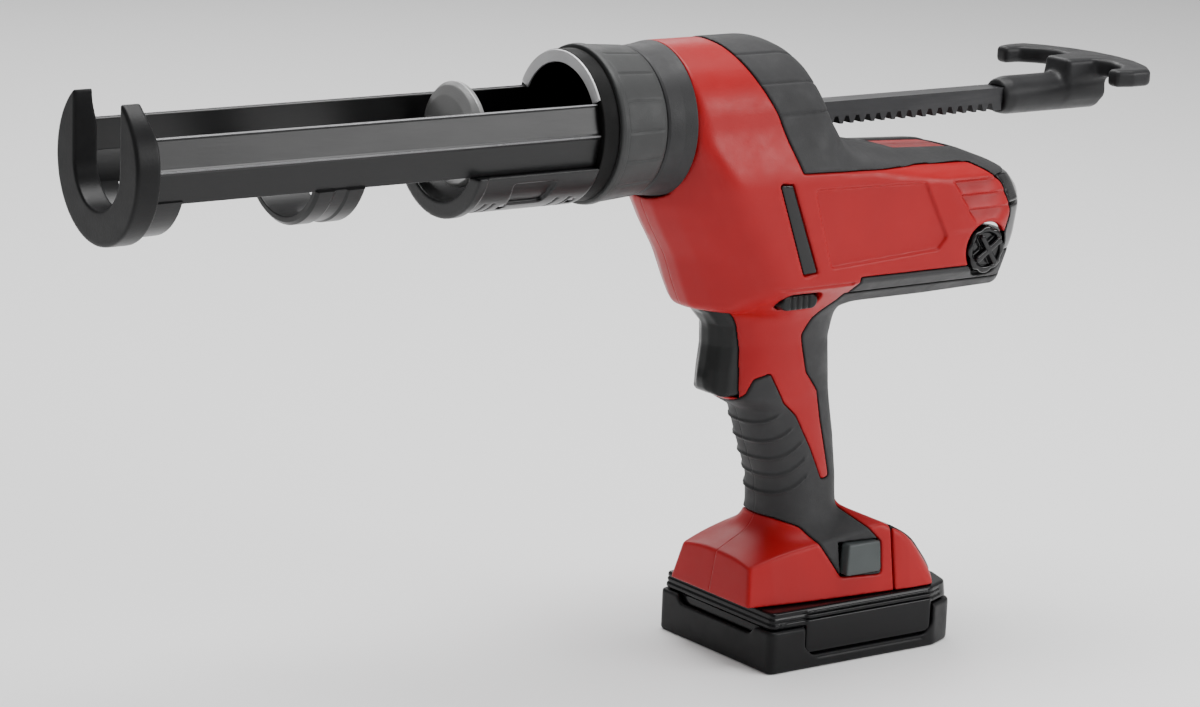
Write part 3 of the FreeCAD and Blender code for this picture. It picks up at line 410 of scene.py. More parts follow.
SLOT_FINISH = {
    "carriage_black": PAINT, "nose_black": NOSE, "rivet_steel": SCREW, "ring_grey": RING_FACE_HIGHLIGHT,
    "collar_grey": COLLAR, "seat_black": SEAT, "housing_red": RED, "grip_rubber": RUBBER,
    "trim_black": TRIM, "screw_steel": SCREW, "bush_bronze": BRONZE, "rod_steel": ROD,
    "piston_grey": PISTON, "handle_black": HANDLE, "gear_steel": STEEL, "motor_steel": STEEL,
    "magnet_dark": MAGNET, "frame_grey": FRAME_GREY, "trigger_black": TRIGGER, "board_green": BOARD,
    "latch_grey": LATCH, "battery_gloss": PACK_GLOSS, "battery_matt": PACK_MATT, "cell_wrap": WRAP,
}


def finish_cad_nodes():
    """Every CAD node that stays on show gets its slot's procedural finish."""
    for part in frame["record"]["subparts"]:
        item = NODES[part["node"]]
        finish = SLOT_FINISH[part["material_slot"]]
        if not item.material_slots:
            item.data.materials.append(finish)
        for held in item.material_slots:
            held.material = finish


# --- body

MOTOR_TOP = [(225, -200, 0), (225, -8.5, 0), (341, -12.5), (353, -15.5, 12), (368, -18.3),
             (404, -20, 16), (421, -26, 14), (435, -35.5, 10), (444, -47, 8), (446.5, -58, 8),
             (446.5, -200, 0)]
SIDE_LOW = [(225, 80, 0), (225, -80.3, 0), (384, -80.3, 20), (421, -79, 12), (437, -76, 8),
            (445, -68, 8), (447, -58, 8), (447, 80, 0)]
NOSE_ACROSS = (0.0, 6.0, 16.0, 24.0, 31.0, 38.0, 42.0)
NOSE_LEVELS = [
    (-84, (273.5, 274, 280, 287, 295, 308, 317)),
    (-70, (267, 267.5, 273, 280, 287.5, 298, 306)),
    (-57, (262, 262.5, 267.5, 273.5, 279.5, 289, 296)),
    (-44, (254, 254.5, 259.5, 265, 271.5, 281, 288)),
    (-33, (248.5, 249, 254, 259, 265, 274, 281)),
    (-24, (250, 250, 252, 256, 261, 268, 274)),
    (-8, (250, 250, 250, 251.5, 255, 263, 268)),
    (40, (250, 250, 250, 250.5, 252, 260, 265)),
]
SLOPE_ACROSS = (0.0, 12.0, 20.0, 25.0, 30.0, 38.0, 42.0)
SLOPE_DROP = (0.0, 1.6, 4.4, 6.9, 10.0, 16.0, 19.5)
SLOPE_REACH = [(-90, 342.0), (-15, 339.0), (-7.7, 336.5), (-2.6, 332.6), (4.2, 329.2), (11, 325.1),
               (20.9, 317.8), (27.5, 310.6), (31, 305.5), (34, 300.0), (40, 286.0)]
REAR_ACROSS = (0.0, 6.0, 20.0, 31.0, 38.0, 42.0)
REAR_LEVELS = [(-84, (434, 432, 424, 412, 398, 388)), (-70, (438, 436, 428.5, 418, 404, 393)),
               (-57, (442, 440, 433, 423.5, 410, 399)), (-42, (444, 442, 435.5, 426, 412, 401)),
               (-33, (440, 438.5, 431.5, 421, 407, 396)), (-20, (436, 434, 426, 415, 402, 392))]
GRIP_HEIGHTS = (-178, -170, -158, -140, -126, -120, -97, -82, -70, -60)
GRIP_FRONT = (316.5, 316, 315, 308, 303, 292, 291, 289, 287, 287)
GRIP_BACK = (353, 353, 352.5, 350.5, 348, 347.5, 345.5, 348, 354, 356)
GRIP_HALF = (17.8, 17.5, 17, 17, 17, 17.5, 18, 21, 27, 28)

TOP_REGION = rounded([(240, 60, 0), (275, 60, 0), (275, 33), (278.5, 29.8), (281.5, 24.5),
                      (285.8, 16.5), (293.5, 3.5), (298, -8), (303.5, -20.5, 1), (398, -23.6, 5),
                      (412, -32, 6), (419, -46, 5), (413, -58, 5), (398, -66.5, 4),
                      (336, -66.3, 0.5), (336, -74, 0), (470, -74, 0), (470, 60, 0)], 3)[1:]
GRIP_REGION = rounded([(334, -74.3, 0), (333, -78, 3), (325.5, -85.5, 4), (321.5, -92.5, 3),
                       (326, -109.5, 3), (333.5, -118.5, 3), (335.8, -131, 6), (342.5, -157, 2),
                       (337.5, -157.5, 1.5), (330.5, -143), (322, -128, 5), (314.8, -121.5, 2),
                       (307.6, -108.6, 1.5), (301, -111, 2), (298.5, -117.5, 4), (293, -122.4, 2),
                       (270, -122.4, 0), (270, -170.5, 0), (318, -173.5, 5), (326, -176.5, 4),
                       (331, -184, 2), (339.2, -197, 3), (359.6, -197.8, 2), (360.2, -184, 1.5),
                       (354.5, -178, 3), (348, -169.3, 2), (372, -165, 1), (372, -92, 0),
                       (470, -88, 0), (470, -74.3, 0)], 4)
PANEL = rounded([(309.5, -27.6), (368.5, -29), (381.5, -53), (377, -58), (320, -61)], 2.0)
BAR = rounded([(291.8, -24.3), (297.6, -24.7), (312.4, -62.0), (306.0, -62.6)], 0.7)
LOUVRE_ROWS = (-30.2, -36.3, -42.6)
LOUVRE_PITCH = 6.2
VENT_ROWS = (-46, -52, -58, -64)
DIAL = (405.0, -60.6)
SCREWS = [(280, 17), (300, -62), (340, -62), (424, -56), (330, -104), (322, -150), (310, -194)]
WALL = 3.2
SEAM = 0.16  # half the gap between rubber and shell
PROUD = 0.25  # how far the rubber stands above the shell
GROOVE_ANGLES = (33.0, 60.0, 84.0)
LATCH_COVER = [(360, -160), (360, -186), (382, -192), (388.5, -201.5), (402, -201.5), (402, -160)]
FOOT_REAR = [(250, -230, 0), (250, -150, 0), (341, -150, 0), (351, -171, 12), (367, -178.6, 14),
             (381, -186, 12), (391.5, -196, 8), (395.5, -205.5, 2), (395.5, -230, 0)]
FOOT_EDGE = ((290, 293, 306, 318, 338, 363, 374, 387, 394), (25, 27, 29.4, 31, 33, 35, 36, 36, 27))


def smooth_line(values, width):
    """Runs a short average along the first axis."""
    kernel = np.hanning(width + 2)[1:-1]
    kernel /= kernel.sum()
    padded = np.concatenate([np.repeat(values[:1], width, 0), values,
                             np.repeat(values[-1:], width, 0)])
    spread = np.apply_along_axis(lambda line: np.convolve(line, kernel, "same"), 0, padded)
    return spread[width:-width]


def end_surface(across, levels, y, w, step):
    """Where the head ends, front or back, as a smooth table over y and w, with its steepness."""
    rows = np.stack([np.interp(np.abs(y.ravel()), across, row) for _, row in levels])
    heights = [level for level, _ in levels]
    table = np.stack([np.interp(w.ravel(), heights, rows[:, column]) for column in range(y.size)])
    table = smooth_line(table, int(5 / step))
    table = smooth_line(table.T, int(9 / step)).T
    across_slope, up_slope = np.gradient(table, step)
    steep = np.sqrt(1 + across_slope ** 2 + up_slope ** 2)
    return table[None].astype(np.float32), steep[None].astype(np.float32)


def crowned(field, y, step, crown):
    """Lowers a (u, w) field towards the flanks by a crown that depends on y."""
    levels = np.arange(field.shape[2], dtype=np.float32)
    result = np.empty((field.shape[0], y.size, field.shape[2]), np.float32)
    for number, drop in enumerate(crown):
        place = np.clip(levels + drop / step, 0, field.shape[2] - 1.001)
        low = place.astype(int)
        part = place - low
        flat = field[:, 0, :]
        result[:, number, :] = flat[:, low] * (1 - part) + flat[:, low + 1] * part
    return result


def flank(u, w):
    """Half the head's width: flat sides with a raised frame, louvres and the bar's recess."""
    half = 31.7 + 6.3 * ease((4.0 - w) / 31.0)
    panel = outline(u, w, PANEL)
    half = half - 1.3 * ease(0.5 - panel)
    along = (u - 370.0) * 0.894 + (w + 29.0) * 0.447
    zone = ease((w + 52.5) / 3.0) * ease((-26.0 - w) / 2.0)
    half = half + 0.75 * ease(along / 9.0) * zone * ease((424 - u) / 10.0)
    depth = np.zeros_like(half)
    for row in LOUVRE_ROWS:
        below = (row - w) / LOUVRE_PITCH
        lip = ease((row + 0.9 - w) / 0.9)
        depth = np.maximum(depth, 2.8 * lip * np.clip(1 - below, 0, 1) * (below > -0.3))
    start = ease((along - 11.0 - 0.18 * (-30 - w)) / 1.6)
    half = half - depth * start * ease((420 - u) / 5.0)
    bar = outline(u, w, BAR)
    half = half - 2.4 * ease(0.5 - (bar - 0.55) / 0.5)
    return half


def head_field(u, y, w, step):
    side = np.sqrt(y ** 2 + np.maximum(w, 0) ** 2) - flank(u, w)
    crown = 7.5 * (np.abs(y.ravel()) / 38.0) ** 2.6
    top = crowned(outline(u, w, rounded(MOTOR_TOP, 6)), y, step, crown)
    levels = [(level, [reach - drop for drop in SLOPE_DROP]) for level, reach in SLOPE_REACH]
    slope, steep = end_surface(SLOPE_ACROSS, levels, y, w, step)
    top = join(top, (u - slope) / steep, 9.0)
    head = both(side, top, 5.0)
    low = outline(u, w, rounded(SIDE_LOW, 6))
    head = both(head, low, 2.5)
    chamfer = (np.abs(y) - 38.0) * 0.585 + (-68.2 - w) * 0.811
    head = both(head, chamfer, 1.2)
    nose, steep = end_surface(NOSE_ACROSS, NOSE_LEVELS, y, w, step)
    head = both(head, (nose - u) / steep, 4.0)
    rear, steep = end_surface(REAR_ACROSS, REAR_LEVELS, y, w, step)
    return both(head, (u - rear) / steep, 3.0)


RIBS = ((-131.6, 303.0, 13.0), (-139.9, 306.5, 16.0), (-147.8, 310.0, 18.0), (-155.4, 312.0, 18.5),
        (-163.4, 313.0, 19.0))  # level, front and length of each finger rib


def rib_field(u, w):
    """Raised finger ribs round the front of the grip, rising towards the back, as a height."""
    height = np.float32(0)
    for level, front, length in RIBS:
        line = level + 0.033 * np.maximum(u - front, 0) ** 2
        rib = ease(1.0 - np.abs(w - line) / 1.05) * ease((front + length - u) / 4.0)
        height = np.maximum(height, 0.95 * rib)
    return height


def grip_field(u, y, w, step):
    line = w.ravel()
    front, back, half = [smooth_line(np.interp(line, GRIP_HEIGHTS, values)[:, None],
                                     int(4 / step))[:, 0]
                         for values in (GRIP_FRONT, GRIP_BACK, GRIP_HALF)]
    centre = ((front + back) / 2)[None, None].astype(np.float32)
    reach = ((back - front) / 2)[None, None].astype(np.float32)
    half = half[None, None].astype(np.float32)
    power = 2.3
    du, dy = np.abs(u - centre), np.abs(y)
    ratio = ((du / reach) ** power + (dy / half) ** power) ** (1 / power)
    away = np.sqrt(du ** 2 + dy ** 2)
    return away * (1 - 1 / np.maximum(ratio, 1e-3))


def plane(u, y, w, first, second, third):
    """Distance past the plane through three points, growing away from the body's inside."""
    a, b, c = Vector(first), Vector(second), Vector(third)
    normal = (b - a).cross(c - a).normalized()
    if normal.dot(a - Vector((340.0, 0.0, -205.0))) < 0:
        normal = -normal
    return (u - a.x) * normal.x + (y - a.y) * normal.y + (w - a.z) * normal.z


def foot_field(u, y, w):
    a = np.abs(y)
    edge = np.interp(u.ravel(), *FOOT_EDGE).astype(np.float32).reshape(u.shape)
    lean = np.interp(u.ravel(), (293, 330, 370, 392), (0.27, 0.20, 0.15, 0.25)).astype(np.float32)
    walls = (a - edge + lean.reshape(u.shape) * (w + 205.5)) * 0.97
    walls = both(walls, plane(u, a, w, (293, 0, -205.5), (293, 10, -205.5), (296, 0, -189)), 1.4)
    rear = outline(u, w, rounded(FOOT_REAR, 6))
    corner = (u - 388.0) * 0.789 + (a - 36.0) * 0.614
    walls = both(walls, rear, 3.0)
    walls = both(walls, corner + (w + 205.5) * 0.55, 4.0)
    front_top = plane(u, a, w, (296, 23, -187.6), (296, 0, -187.6), (316, 0, -177.6))
    side_top = plane(u, a, w, (296, 23, -187.4), (332, 27, -181.5), (330, 14, -176.4))
    roof = both(front_top, side_top, 7.0)
    foot = both(walls, roof, 0.9)
    return np.maximum(foot, slab(w, -205.4, -150))


def button_field(u, w, grow):
    """The lock button's rounded bar, seen from the side."""
    reach = np.maximum(np.abs(u - 311.0) - 6.2, 0)
    return np.sqrt(reach ** 2 + (w + 76.0) ** 2) - 3.2 - grow


def body_openings(u, y, w):
    """Everything let into the body on both sides, as the solid that is taken away."""
    a = np.abs(y)
    openings = [
        block(u, a, w, ((255, 313), (-20, 10.35), (-118.9, -80.0)), 0.6),  # trigger
        block(u, a, w, ((300, 321), (-20, 4.6), (-104.8, -91.2)), 0.4),  # trigger stem
        both(disc(y, w, (0, 0), 32.0), u - 253.0, 0.3),  # seat ring
        both(disc(y, w, (0, -3.13), 9.4), slab(u, 240, 380), 0.3),  # rod
        button_field(u, w, 0.25),
        both(button_field(u, w, 1.3), 24.0 - a, 1.0),  # dish round the lock button
        both(both(np.abs(w + 68.7) - 0.65, 35.8 - a, 0.3), slab(u, 284, 333), 0.8),  # neck line
        block(u, a, w, ((297.5, 470), (-30, 22.6), (-220, -195.6)), 0.4),  # battery rails
        block(u, a, w, ((338.6, 358.9), (20, 60), (-196.6, -182.4)), 0.5),  # latch pads
    ]
    openings += [both(np.hypot(np.maximum(a - 13, 0), w - row) - 1.5, 432.0 - u, 0.5)
                 for row in VENT_ROWS]  # vents through the rear
    hole = openings[0]
    for opening in openings[1:]:
        hole = np.minimum(hole, opening)
    return hole


def screw_seats(u, y, w, shape):
    """Each screw's place with the depth of its seat, just below the shell's surface."""
    seats = []
    for place, height in SCREWS:
        column = shape[np.searchsorted(u.ravel(), place), :, np.searchsorted(w.ravel(), height)]
        seats.append((place, height, float(y.ravel()[int(np.argmax(column > 0))]) - 0.9))
    return seats


def side_openings(u, y, w, seats, dial_side):
    """What is let into one side only: the dial's well, or the screws' seats."""
    a = np.abs(y)
    if dial_side:
        well = both(disc(u, w, DIAL, 11.9), 28.6 - a, 0.4)
        lip = both(disc(u, w, DIAL, 12.9) + (38.0 - a) * 0.9, 30 - a, 0.4)
        return np.minimum(well, lip)
    hole = np.float32(99)
    for place, height, depth in seats:
        seat = both(disc(u, w, (place, height), 3.3), depth - 0.6 - a, 0.3)
        hole = np.minimum(hole, seat)
    return hole


def make_body():
    """Red shells, rubber and the foot's rear cover. Gives back the seats of the screws."""
    step = FINE
    u, y, w = axes_for((247, 0, -206), (448, 39.5, 33))
    y = y - (y.ravel()[0] + 2.5 * step)  # the middle falls halfway between two samples
    a = np.abs(y)
    shape = head_field(u, y, w, step)
    shape = join(shape, both(grip_field(u, y, w, step), slab(w, -180, -60), 1.0), 9.0)
    fillet = np.interp(u, (336, 352), (9.0, 3.0)).astype(np.float32)
    shape = join(shape, foot_field(u, y, w), fillet)
    hole = body_openings(u, y, w)
    seats = screw_seats(u, y, w, shape)

    top = outline(u, w, TOP_REGION)
    grip = outline(u, w, GRIP_REGION)
    window = block(u, a, w, ((371, 407), (-20, 10.6), (-40, 0)), 2.0)
    top_soft = np.maximum(top, -window)
    angle = np.degrees(np.arctan2(a, w))
    grooves = np.float32(9)
    for place in GROOVE_ANGLES:
        grooves = np.minimum(grooves, np.abs(angle - place) * (31.7 * math.pi / 180))
    cut = 0.7 * ease(1 - grooves / 0.75) * ease((338 - u) / 4.0) * (w > -14)
    soft_top = both(shape - PROUD + cut, top_soft + SEAM, 0.7)
    soft_grip = both(shape - PROUD - rib_field(u, w), grip + SEAM, 0.7)
    hard = both(shape, -np.minimum(top - SEAM, grip - SEAM), 0.7)
    hard = np.minimum(hard, both(shape + 0.7, window - 0.15, 0.5))

    trim_zone = both(slab(w, -62.5, -29.0) * 0.8, 408.0 - u, 1.0)
    rubber = both(soft_top, -(trim_zone - 0.2), 0.5)
    gloss = both(both(shape - 0.1, top_soft + SEAM, 0.7), trim_zone, 1.0)
    gloss = both(gloss, -both(np.abs(w + 42.3) - 0.6, -3.0 - shape, 0.4), 0.5)
    kept = -both(365.4 - u, slab(w, -230, -171.2), 0.3)
    hollow = np.maximum(shape + WALL, 258.0 - u)
    for name, mirror in SIDES:
        opened = np.minimum(hole, side_openings(u, y, w, seats, mirror))
        inner = both(-opened, slab(y, 0.03, 60), 0.12)
        for label, part, slot, node in (
                ("housing", hard, "housing_red", "_housing"),
                ("top_rubber", rubber, "grip_rubber", "_top_rubber"),
                ("rear_trim", gloss, "trim_black", "_top_rubber"),
                ("grip_rubber", soft_grip, "grip_rubber", "_grip_rubber")):
            field = np.maximum(both(both(part, inner, 0.2), kept, 0.3), -hollow)
            item = solid_mesh(name + "_" + label + "_shell", (u, y, w), field, mirror)
            meet_middle(item, step)
            thin_out(item)
            finish_piece(item, slot, "housing", name + node)

    rear = both(366.4 - u, slab(w, -230, -172.0), 0.3)
    cover = np.maximum(np.maximum(both(shape, rear, 0.7), -hole), -(shape + WALL))
    make_foot_cover(u, y, w, np.maximum(cover, -1.0))
    return seats


def make_foot_cover(u, y, w, cover):
    """The cover behind the foot and its dark strip, meshed over the full width."""
    y = np.concatenate([-y[:, :1:-1], y], 1)
    cover = np.concatenate([cover[:, :1:-1], cover], 1)
    low = int(np.searchsorted(u.ravel(), 363.0))
    high = int(np.searchsorted(w.ravel(), -168.0))
    u, w, cover = u[low:], w[:, :, :high], cover[low:, :, :high]
    strip = both(outline(u, w, LATCH_COVER), np.abs(y) - 29.5, 2.0)
    for label, field, slot in (
            ("cover", both(cover, -(strip - 0.2), 0.6), "housing_red"),
            ("strip", both(cover - 0.3, strip, 0.8), "trim_black")):
        item = solid_mesh("foot_rear_" + label, (u, y, w), field)
        finish_piece(item, slot, "housing", "foot_rear_cap")


# --- simple shapes

def ringed_mesh(name, points, layers, wrap=False):
    """A mesh over rings of points, with end faces unless the last ring meets the first."""
    count = len(points) // layers
    faces = []
    for layer in range(layers if wrap else layers - 1):
        low, high = layer * count, (layer + 1) % layers * count
        faces += [(low + n, low + (n + 1) % count, high + (n + 1) % count, high + n)
                  for n in range(count)]
    if not wrap:
        faces.append(tuple(reversed(range(count))))
        faces.append(tuple((layers - 1) * count + n for n in range(count)))
    item = mesh_object(name, points, faces)
    made = bmesh.new()
    made.from_mesh(item.data)
    bmesh.ops.recalc_face_normals(made, faces=made.faces)
    made.to_mesh(item.data)
    made.free()
    return flat_shading(item)


def lathe(name, profile, segments=160, arc=None, ripple=None):
    """Turns a closed (u, radius) profile about the x axis. An arc, in degrees from +w towards
    -y, gives a part turn with closed ends. Ripple changes a radius by angle and place."""
    closed = arc is None
    turns = np.linspace(0, TURN, segments, endpoint=False) if closed else \
        np.radians(np.linspace(arc[0], arc[1], segments))
    points = []
    for turn in turns:
        for place, radius in profile:
            r = radius + (ripple(place, radius, turn) if ripple else 0.0)
            points.append((place, -r * math.sin(turn), r * math.cos(turn)))
    return ringed_mesh(name, points, segments, closed)


def sweep(name, section, start, end, edge):
    """Carries a closed (y, w) section along x, with its ends eased over edge."""
    ring = np.array(section)
    last = np.roll(ring, 1, 0)
    along = np.roll(ring, -1, 0) - last
    normal = np.stack([along[:, 1], -along[:, 0]], 1)
    normal /= np.maximum(np.hypot(*normal.T), 1e-9)[:, None]
    area = (last[:, 0] * ring[:, 1] - ring[:, 0] * last[:, 1]).sum()
    inward = -normal if area > 0 else normal
    layers = ((start, edge), (start + 0.3 * edge, 0.3 * edge), (start + edge, 0),
              (end - edge, 0), (end - 0.3 * edge, 0.3 * edge), (end, edge))
    points = [(place, *across) for place, shrink in layers for across in ring + inward * shrink]
    return ringed_mesh(name, points, len(layers))


def eased_copy(name, node, width, segments=2):
    """A copy of a CAD node with its flat faces merged and its edges rounded."""
    item = bpy.data.objects.new(name, NODES[node].data.copy())
    item.data.name = name
    bpy.context.scene.collection.objects.link(item)
    made = bmesh.new()
    made.from_mesh(item.data)
    bmesh.ops.remove_doubles(made, verts=made.verts, dist=1e-6)
    bmesh.ops.dissolve_limit(made, angle_limit=math.radians(1.0), verts=made.verts,
                             edges=made.edges)
    bmesh.ops.recalc_face_normals(made, faces=made.faces)
    made.to_mesh(item.data)
    made.free()
    item.data.polygons.foreach_set("use_smooth", np.ones(len(item.data.polygons), bool))
    bevel = item.modifiers.new("edges", "BEVEL")
    bevel.width = width * MM
    bevel.segments = segments
    bevel.limit_method = "ANGLE"
    bevel.angle_limit = math.radians(35)
    bevel.use_clamp_overlap = True
    return flat_shading(item)


# --- carriage

CAP_BACK = 10.3
RING_FRONT = 207.5
SLOT_HALF = 17.5
BAND_INNER = 25.7
RIVETS_ALONG = (170.0, 203.0)


def make_nose_cap():
    """A round cup with an open slot for the nozzle, cut square at the tips of its horns."""
    u, y, w = axes_for((0, -31, -31), (CAP_BACK, 31, 31), 0.75)
    around = np.sqrt(y ** 2 + w ** 2)
    cap = both(around - 31.0, slab(u, 0.0, CAP_BACK), 1.3)
    slot = np.where(w > 0, np.abs(y), around) - SLOT_HALF
    cup = both(around - 26.6, 4.5 - u, 1.0)
    cap = both(cap, -slot, 0.9)
    cup = both(cup, 2.4 - slot, 0.6)
    cap = both(cap, -cup, 0.5)
    depth = CAP_BACK - 2.4 * ease((w - 8.0) / 15.0)
    cap = both(cap, (u - depth) * 0.97, 0.9)
    cap = both(cap, w - 24.7, 0.5)
    item = solid_mesh("nose_cap", (u, y, w), cap)
    finish_piece(item, "nose_black", "carriage", "front_cap")


def rail_section(side):
    """A shallow V of sheet with a rolled ridge and eased edges."""
    outer = [(25.4, 12.4, 0.4), (25.4, 11.4, 0.2), (27.85, 1.4, 0.15), (28.6, 0.75, 0.15),
             (28.6, -0.1, 0.3), (28.0, -0.9, 0.2), (25.0, -12.4, 0.5), (22.7, -12.4, 0.5),
             (25.9, 0.0, 1.2), (22.7, 12.4, 0.5)]
    return [(side * across, up) for across, up in rounded(outer, 0.5, 4)]


def make_carriage():
    make_nose_cap()
    for name, side in (("left_rail", -1), ("right_rail", 1)):
        item = sweep(name + "_channel", rail_section(side), CAP_BACK, RING_FRONT, 0.3)
        finish_piece(item, "carriage_black", "carriage", name)
        # The ridge and brim strips carry a painted highlight: the lighter finish stands for light
        # caught along the rails' ridge and top edge.
        for label, corners in (("ridge", [(28.2, 0.8), (28.85, 0.65), (28.85, 0.05), (28.2, -0.1)]),
                               ("brim", [(25.2, 12.1), (25.75, 12.1), (25.6, 12.65),
                                         (24.8, 12.65)])):
            edge = [(side * across, up) for across, up in rounded(corners, 0.12, 2)]
            item = sweep(name + "_" + label, edge, CAP_BACK + 0.3, RING_FRONT - 0.3, 0.1)
            finish_piece(item, "carriage_black", "carriage", name, material=RAIL_EDGE_HIGHLIGHT)
    hoop = rounded([(CAP_BACK, BAND_INNER), (CAP_BACK, 28.5), (22.0, 28.3), (22.0, BAND_INNER)],
                   0.6, 3)
    finish_piece(lathe("front_hoop_band", hoop, 90, arc=(113.5, 246.5)), "carriage_black",
                 "carriage", "front_hoop")
    saddle = rounded([(79, BAND_INNER), (79, 28.0), (80.2, 29.2), (86.5, 29.2), (87.5, 28.5),
                      (92.5, 28.5), (93.5, 29.2), (99.8, 29.2), (101, 28.0), (101, BAND_INNER)],
                      0.5, 3)
    finish_piece(lathe("mid_saddle_band", saddle, 90, arc=(115, 245)), "carriage_black", "carriage",
                 "mid_saddle")
    make_cradle()
    ring = rounded([(RING_FRONT, 25.3, 0.5), (RING_FRONT, 30.6, 0.6), (214.9, 30.6, 0.6),
                    (214.9, 28.0, 0.3), (245.7, 28.0, 0.4), (245.7, 25.3, 0.4)], 0.4, 4)
    finish_piece(lathe("rear_ring_casting", ring, 192), "carriage_black", "carriage", "rear_ring",
                 material=BORE)
    # A light grey arc on the top of the ring's front face only: a painted highlight where the black
    # ring catches light from above.
    highlight_arc = rounded([(206.9, 25.5), (206.9, 30.2), (207.8, 30.5), (207.8, 25.4)], 0.3, 3)
    finish_piece(lathe("rear_ring_highlight_face", highlight_arc, 72, arc=(-62, 62)), "ring_grey", "carriage",
                 "rear_ring")


def make_cradle():
    """The rear cradle: a flanged half ring with recessed side panels, grooves and rivet holes."""
    u, y, w = axes_for((150, -33, -33), (RING_FRONT, 33, -8))
    around = np.sqrt(y ** 2 + w ** 2)
    flange = both(around - 32.6, slab(u, 150, 154.5), 0.8)
    shell = both(around - 31.2, slab(u, 152, RING_FRONT), 0.6)
    cradle = join(flange, shell, 0.8)
    cradle = both(cradle, 25.6 - around, 0.7)
    cradle = both(cradle, w + 12.4, 0.5)
    panel = both(outline(u, w, rounded([(168, -16), (189, -16), (187, -25.5), (171, -25.5)], 1.5)),
                 29.9 - around, 0.3)
    cradle = both(cradle, -panel, 0.5)
    for place in (160.0, 164.0, 194.0, 200.0):
        groove = both(np.abs(u - place) - 0.45, 30.5 - around, 0.2)
        groove = both(groove, np.abs(y) - 19.0, 0.2)
        cradle = both(cradle, -groove, 0.3)
    for place in RIVETS_ALONG:
        hole = both(disc(u, w, (place, -27.0), 1.4), 12.0 - np.abs(y), 0.2)
        cradle = both(cradle, -hole, 0.2)
    item = solid_mesh("rear_cradle_casting", (u, y, w), cradle)
    finish_piece(item, "carriage_black", "carriage", "rear_cradle")


def make_collar():
    pads = 16

    def ripple(place, radius, turn):
        if radius < 29.5 or not 219.5 < place < 237.0:
            return 0.0
        offset = ((turn * pads / TURN) + 0.1) % 1.0
        away = min(offset, 1 - offset) / pads * TURN * radius
        ends = min(1.0, (place - 219.5) / 0.8, (237.0 - place) / 0.8)
        return -0.55 * max(0.0, 1.0 - away / 0.7) * max(0.0, ends)

    outer = [(215.3, 28.5, 0.3), (215.3, 32.0, 0.9), (217.0, 32.3, 0.5), (218.6, 32.3, 0.3),
             (219.0, 31.7, 0.3)]
    places = np.linspace(219.6, 237.2, 12)
    outer += [(place, 31.85 - 1.3 * (place - 219.6) / 17.6, 0) for place in places]
    outer += [(237.8, 30.2, 0.3), (238.8, 29.9, 0.5), (238.8, 28.5, 0.3)]
    profile = rounded(outer, 0.3, 3)
    item = lathe("lock_collar_grip", profile, 384, ripple=ripple)
    finish_piece(item, "collar_grey", "collar", "lock_collar")
    seat = rounded([(239.2, 28.4, 0.3), (239.2, 29.6, 0.6), (240.4, 30.1, 0.6), (247.0, 30.75, 2.0),
                    (252.9, 31.75, 0.6), (252.9, 25.0, 0.3), (246.0, 25.0, 0.3),
                    (246.0, 28.4, 0.3)], 0.4, 4)
    finish_piece(lathe("seat_ring_moulding", seat, 192), "seat_black", "housing", "seat_ring")


# --- rod, piston and handle

def make_rod():
    finish_piece(eased_copy("rack_bar", "rack_rod", 0.3), "rod_steel", "rod", "rack_rod")
    profile = rounded([(159.5, 2.7, 0), (159.5, 20.6, 0.6), (157.4, 20.9, 0.5), (155.4, 19.4, 2.0),
                       (153.4, 15.6, 4.0), (151.8, 9.6, 3.0), (151.0, 6.0, 1.0), (151.0, 2.7, 0)],
                       0.5, 5)
    finish_piece(lathe("piston_dome", profile, 160), "piston_grey", "rod", "piston")
    make_handle()


def make_handle():
    """A bow for two fingers on a round sleeve, moulded in one with soft edges."""
    u, y, w = axes_for((437, -41.5, -11), (503, 41.5, 12), 0.8)
    a = np.abs(y)
    plan = [(503, -8), (503, 7, 6), (500.5, 20, 20), (495, 33, 16), (488.5, 41.5, 5),
            (479, 41.5, 4), (471, 39, 2.5), (471, 32.5, 2.5), (479, 32, 4), (485.3, 25.5, 8),
            (488, 17, 10), (486, 8.6, 3), (472, 7.0, 2), (472, -8)]
    bow = both(outline(u, a, rounded(plan, 3)), slab(w, 4.6, 12.0), 2.6)
    around = np.sqrt(y ** 2 + (w + 2.5) ** 2)
    taper = 8.3 - 0.9 * ease((443.0 - u) / 6.0)
    sleeve = both(around - taper, slab(u, 437.0, 493.0), 2.0)
    post = block(u, a, w, ((474, 492.5), (-9, 6.5), (-3, 9)), 2.0)
    handle = join(join(sleeve, post, 5.0), bow, 5.0)
    room = block(u, a, w, ((430, 455.2), (-9, 5.06), (-4.81, 1.81)), 0.2)
    handle = both(handle, -room, 0.2)
    item = solid_mesh("bow_handle", (u, y, w), handle)
    finish_piece(item, "handle_black", "rod", "pull_handle")


# --- controls

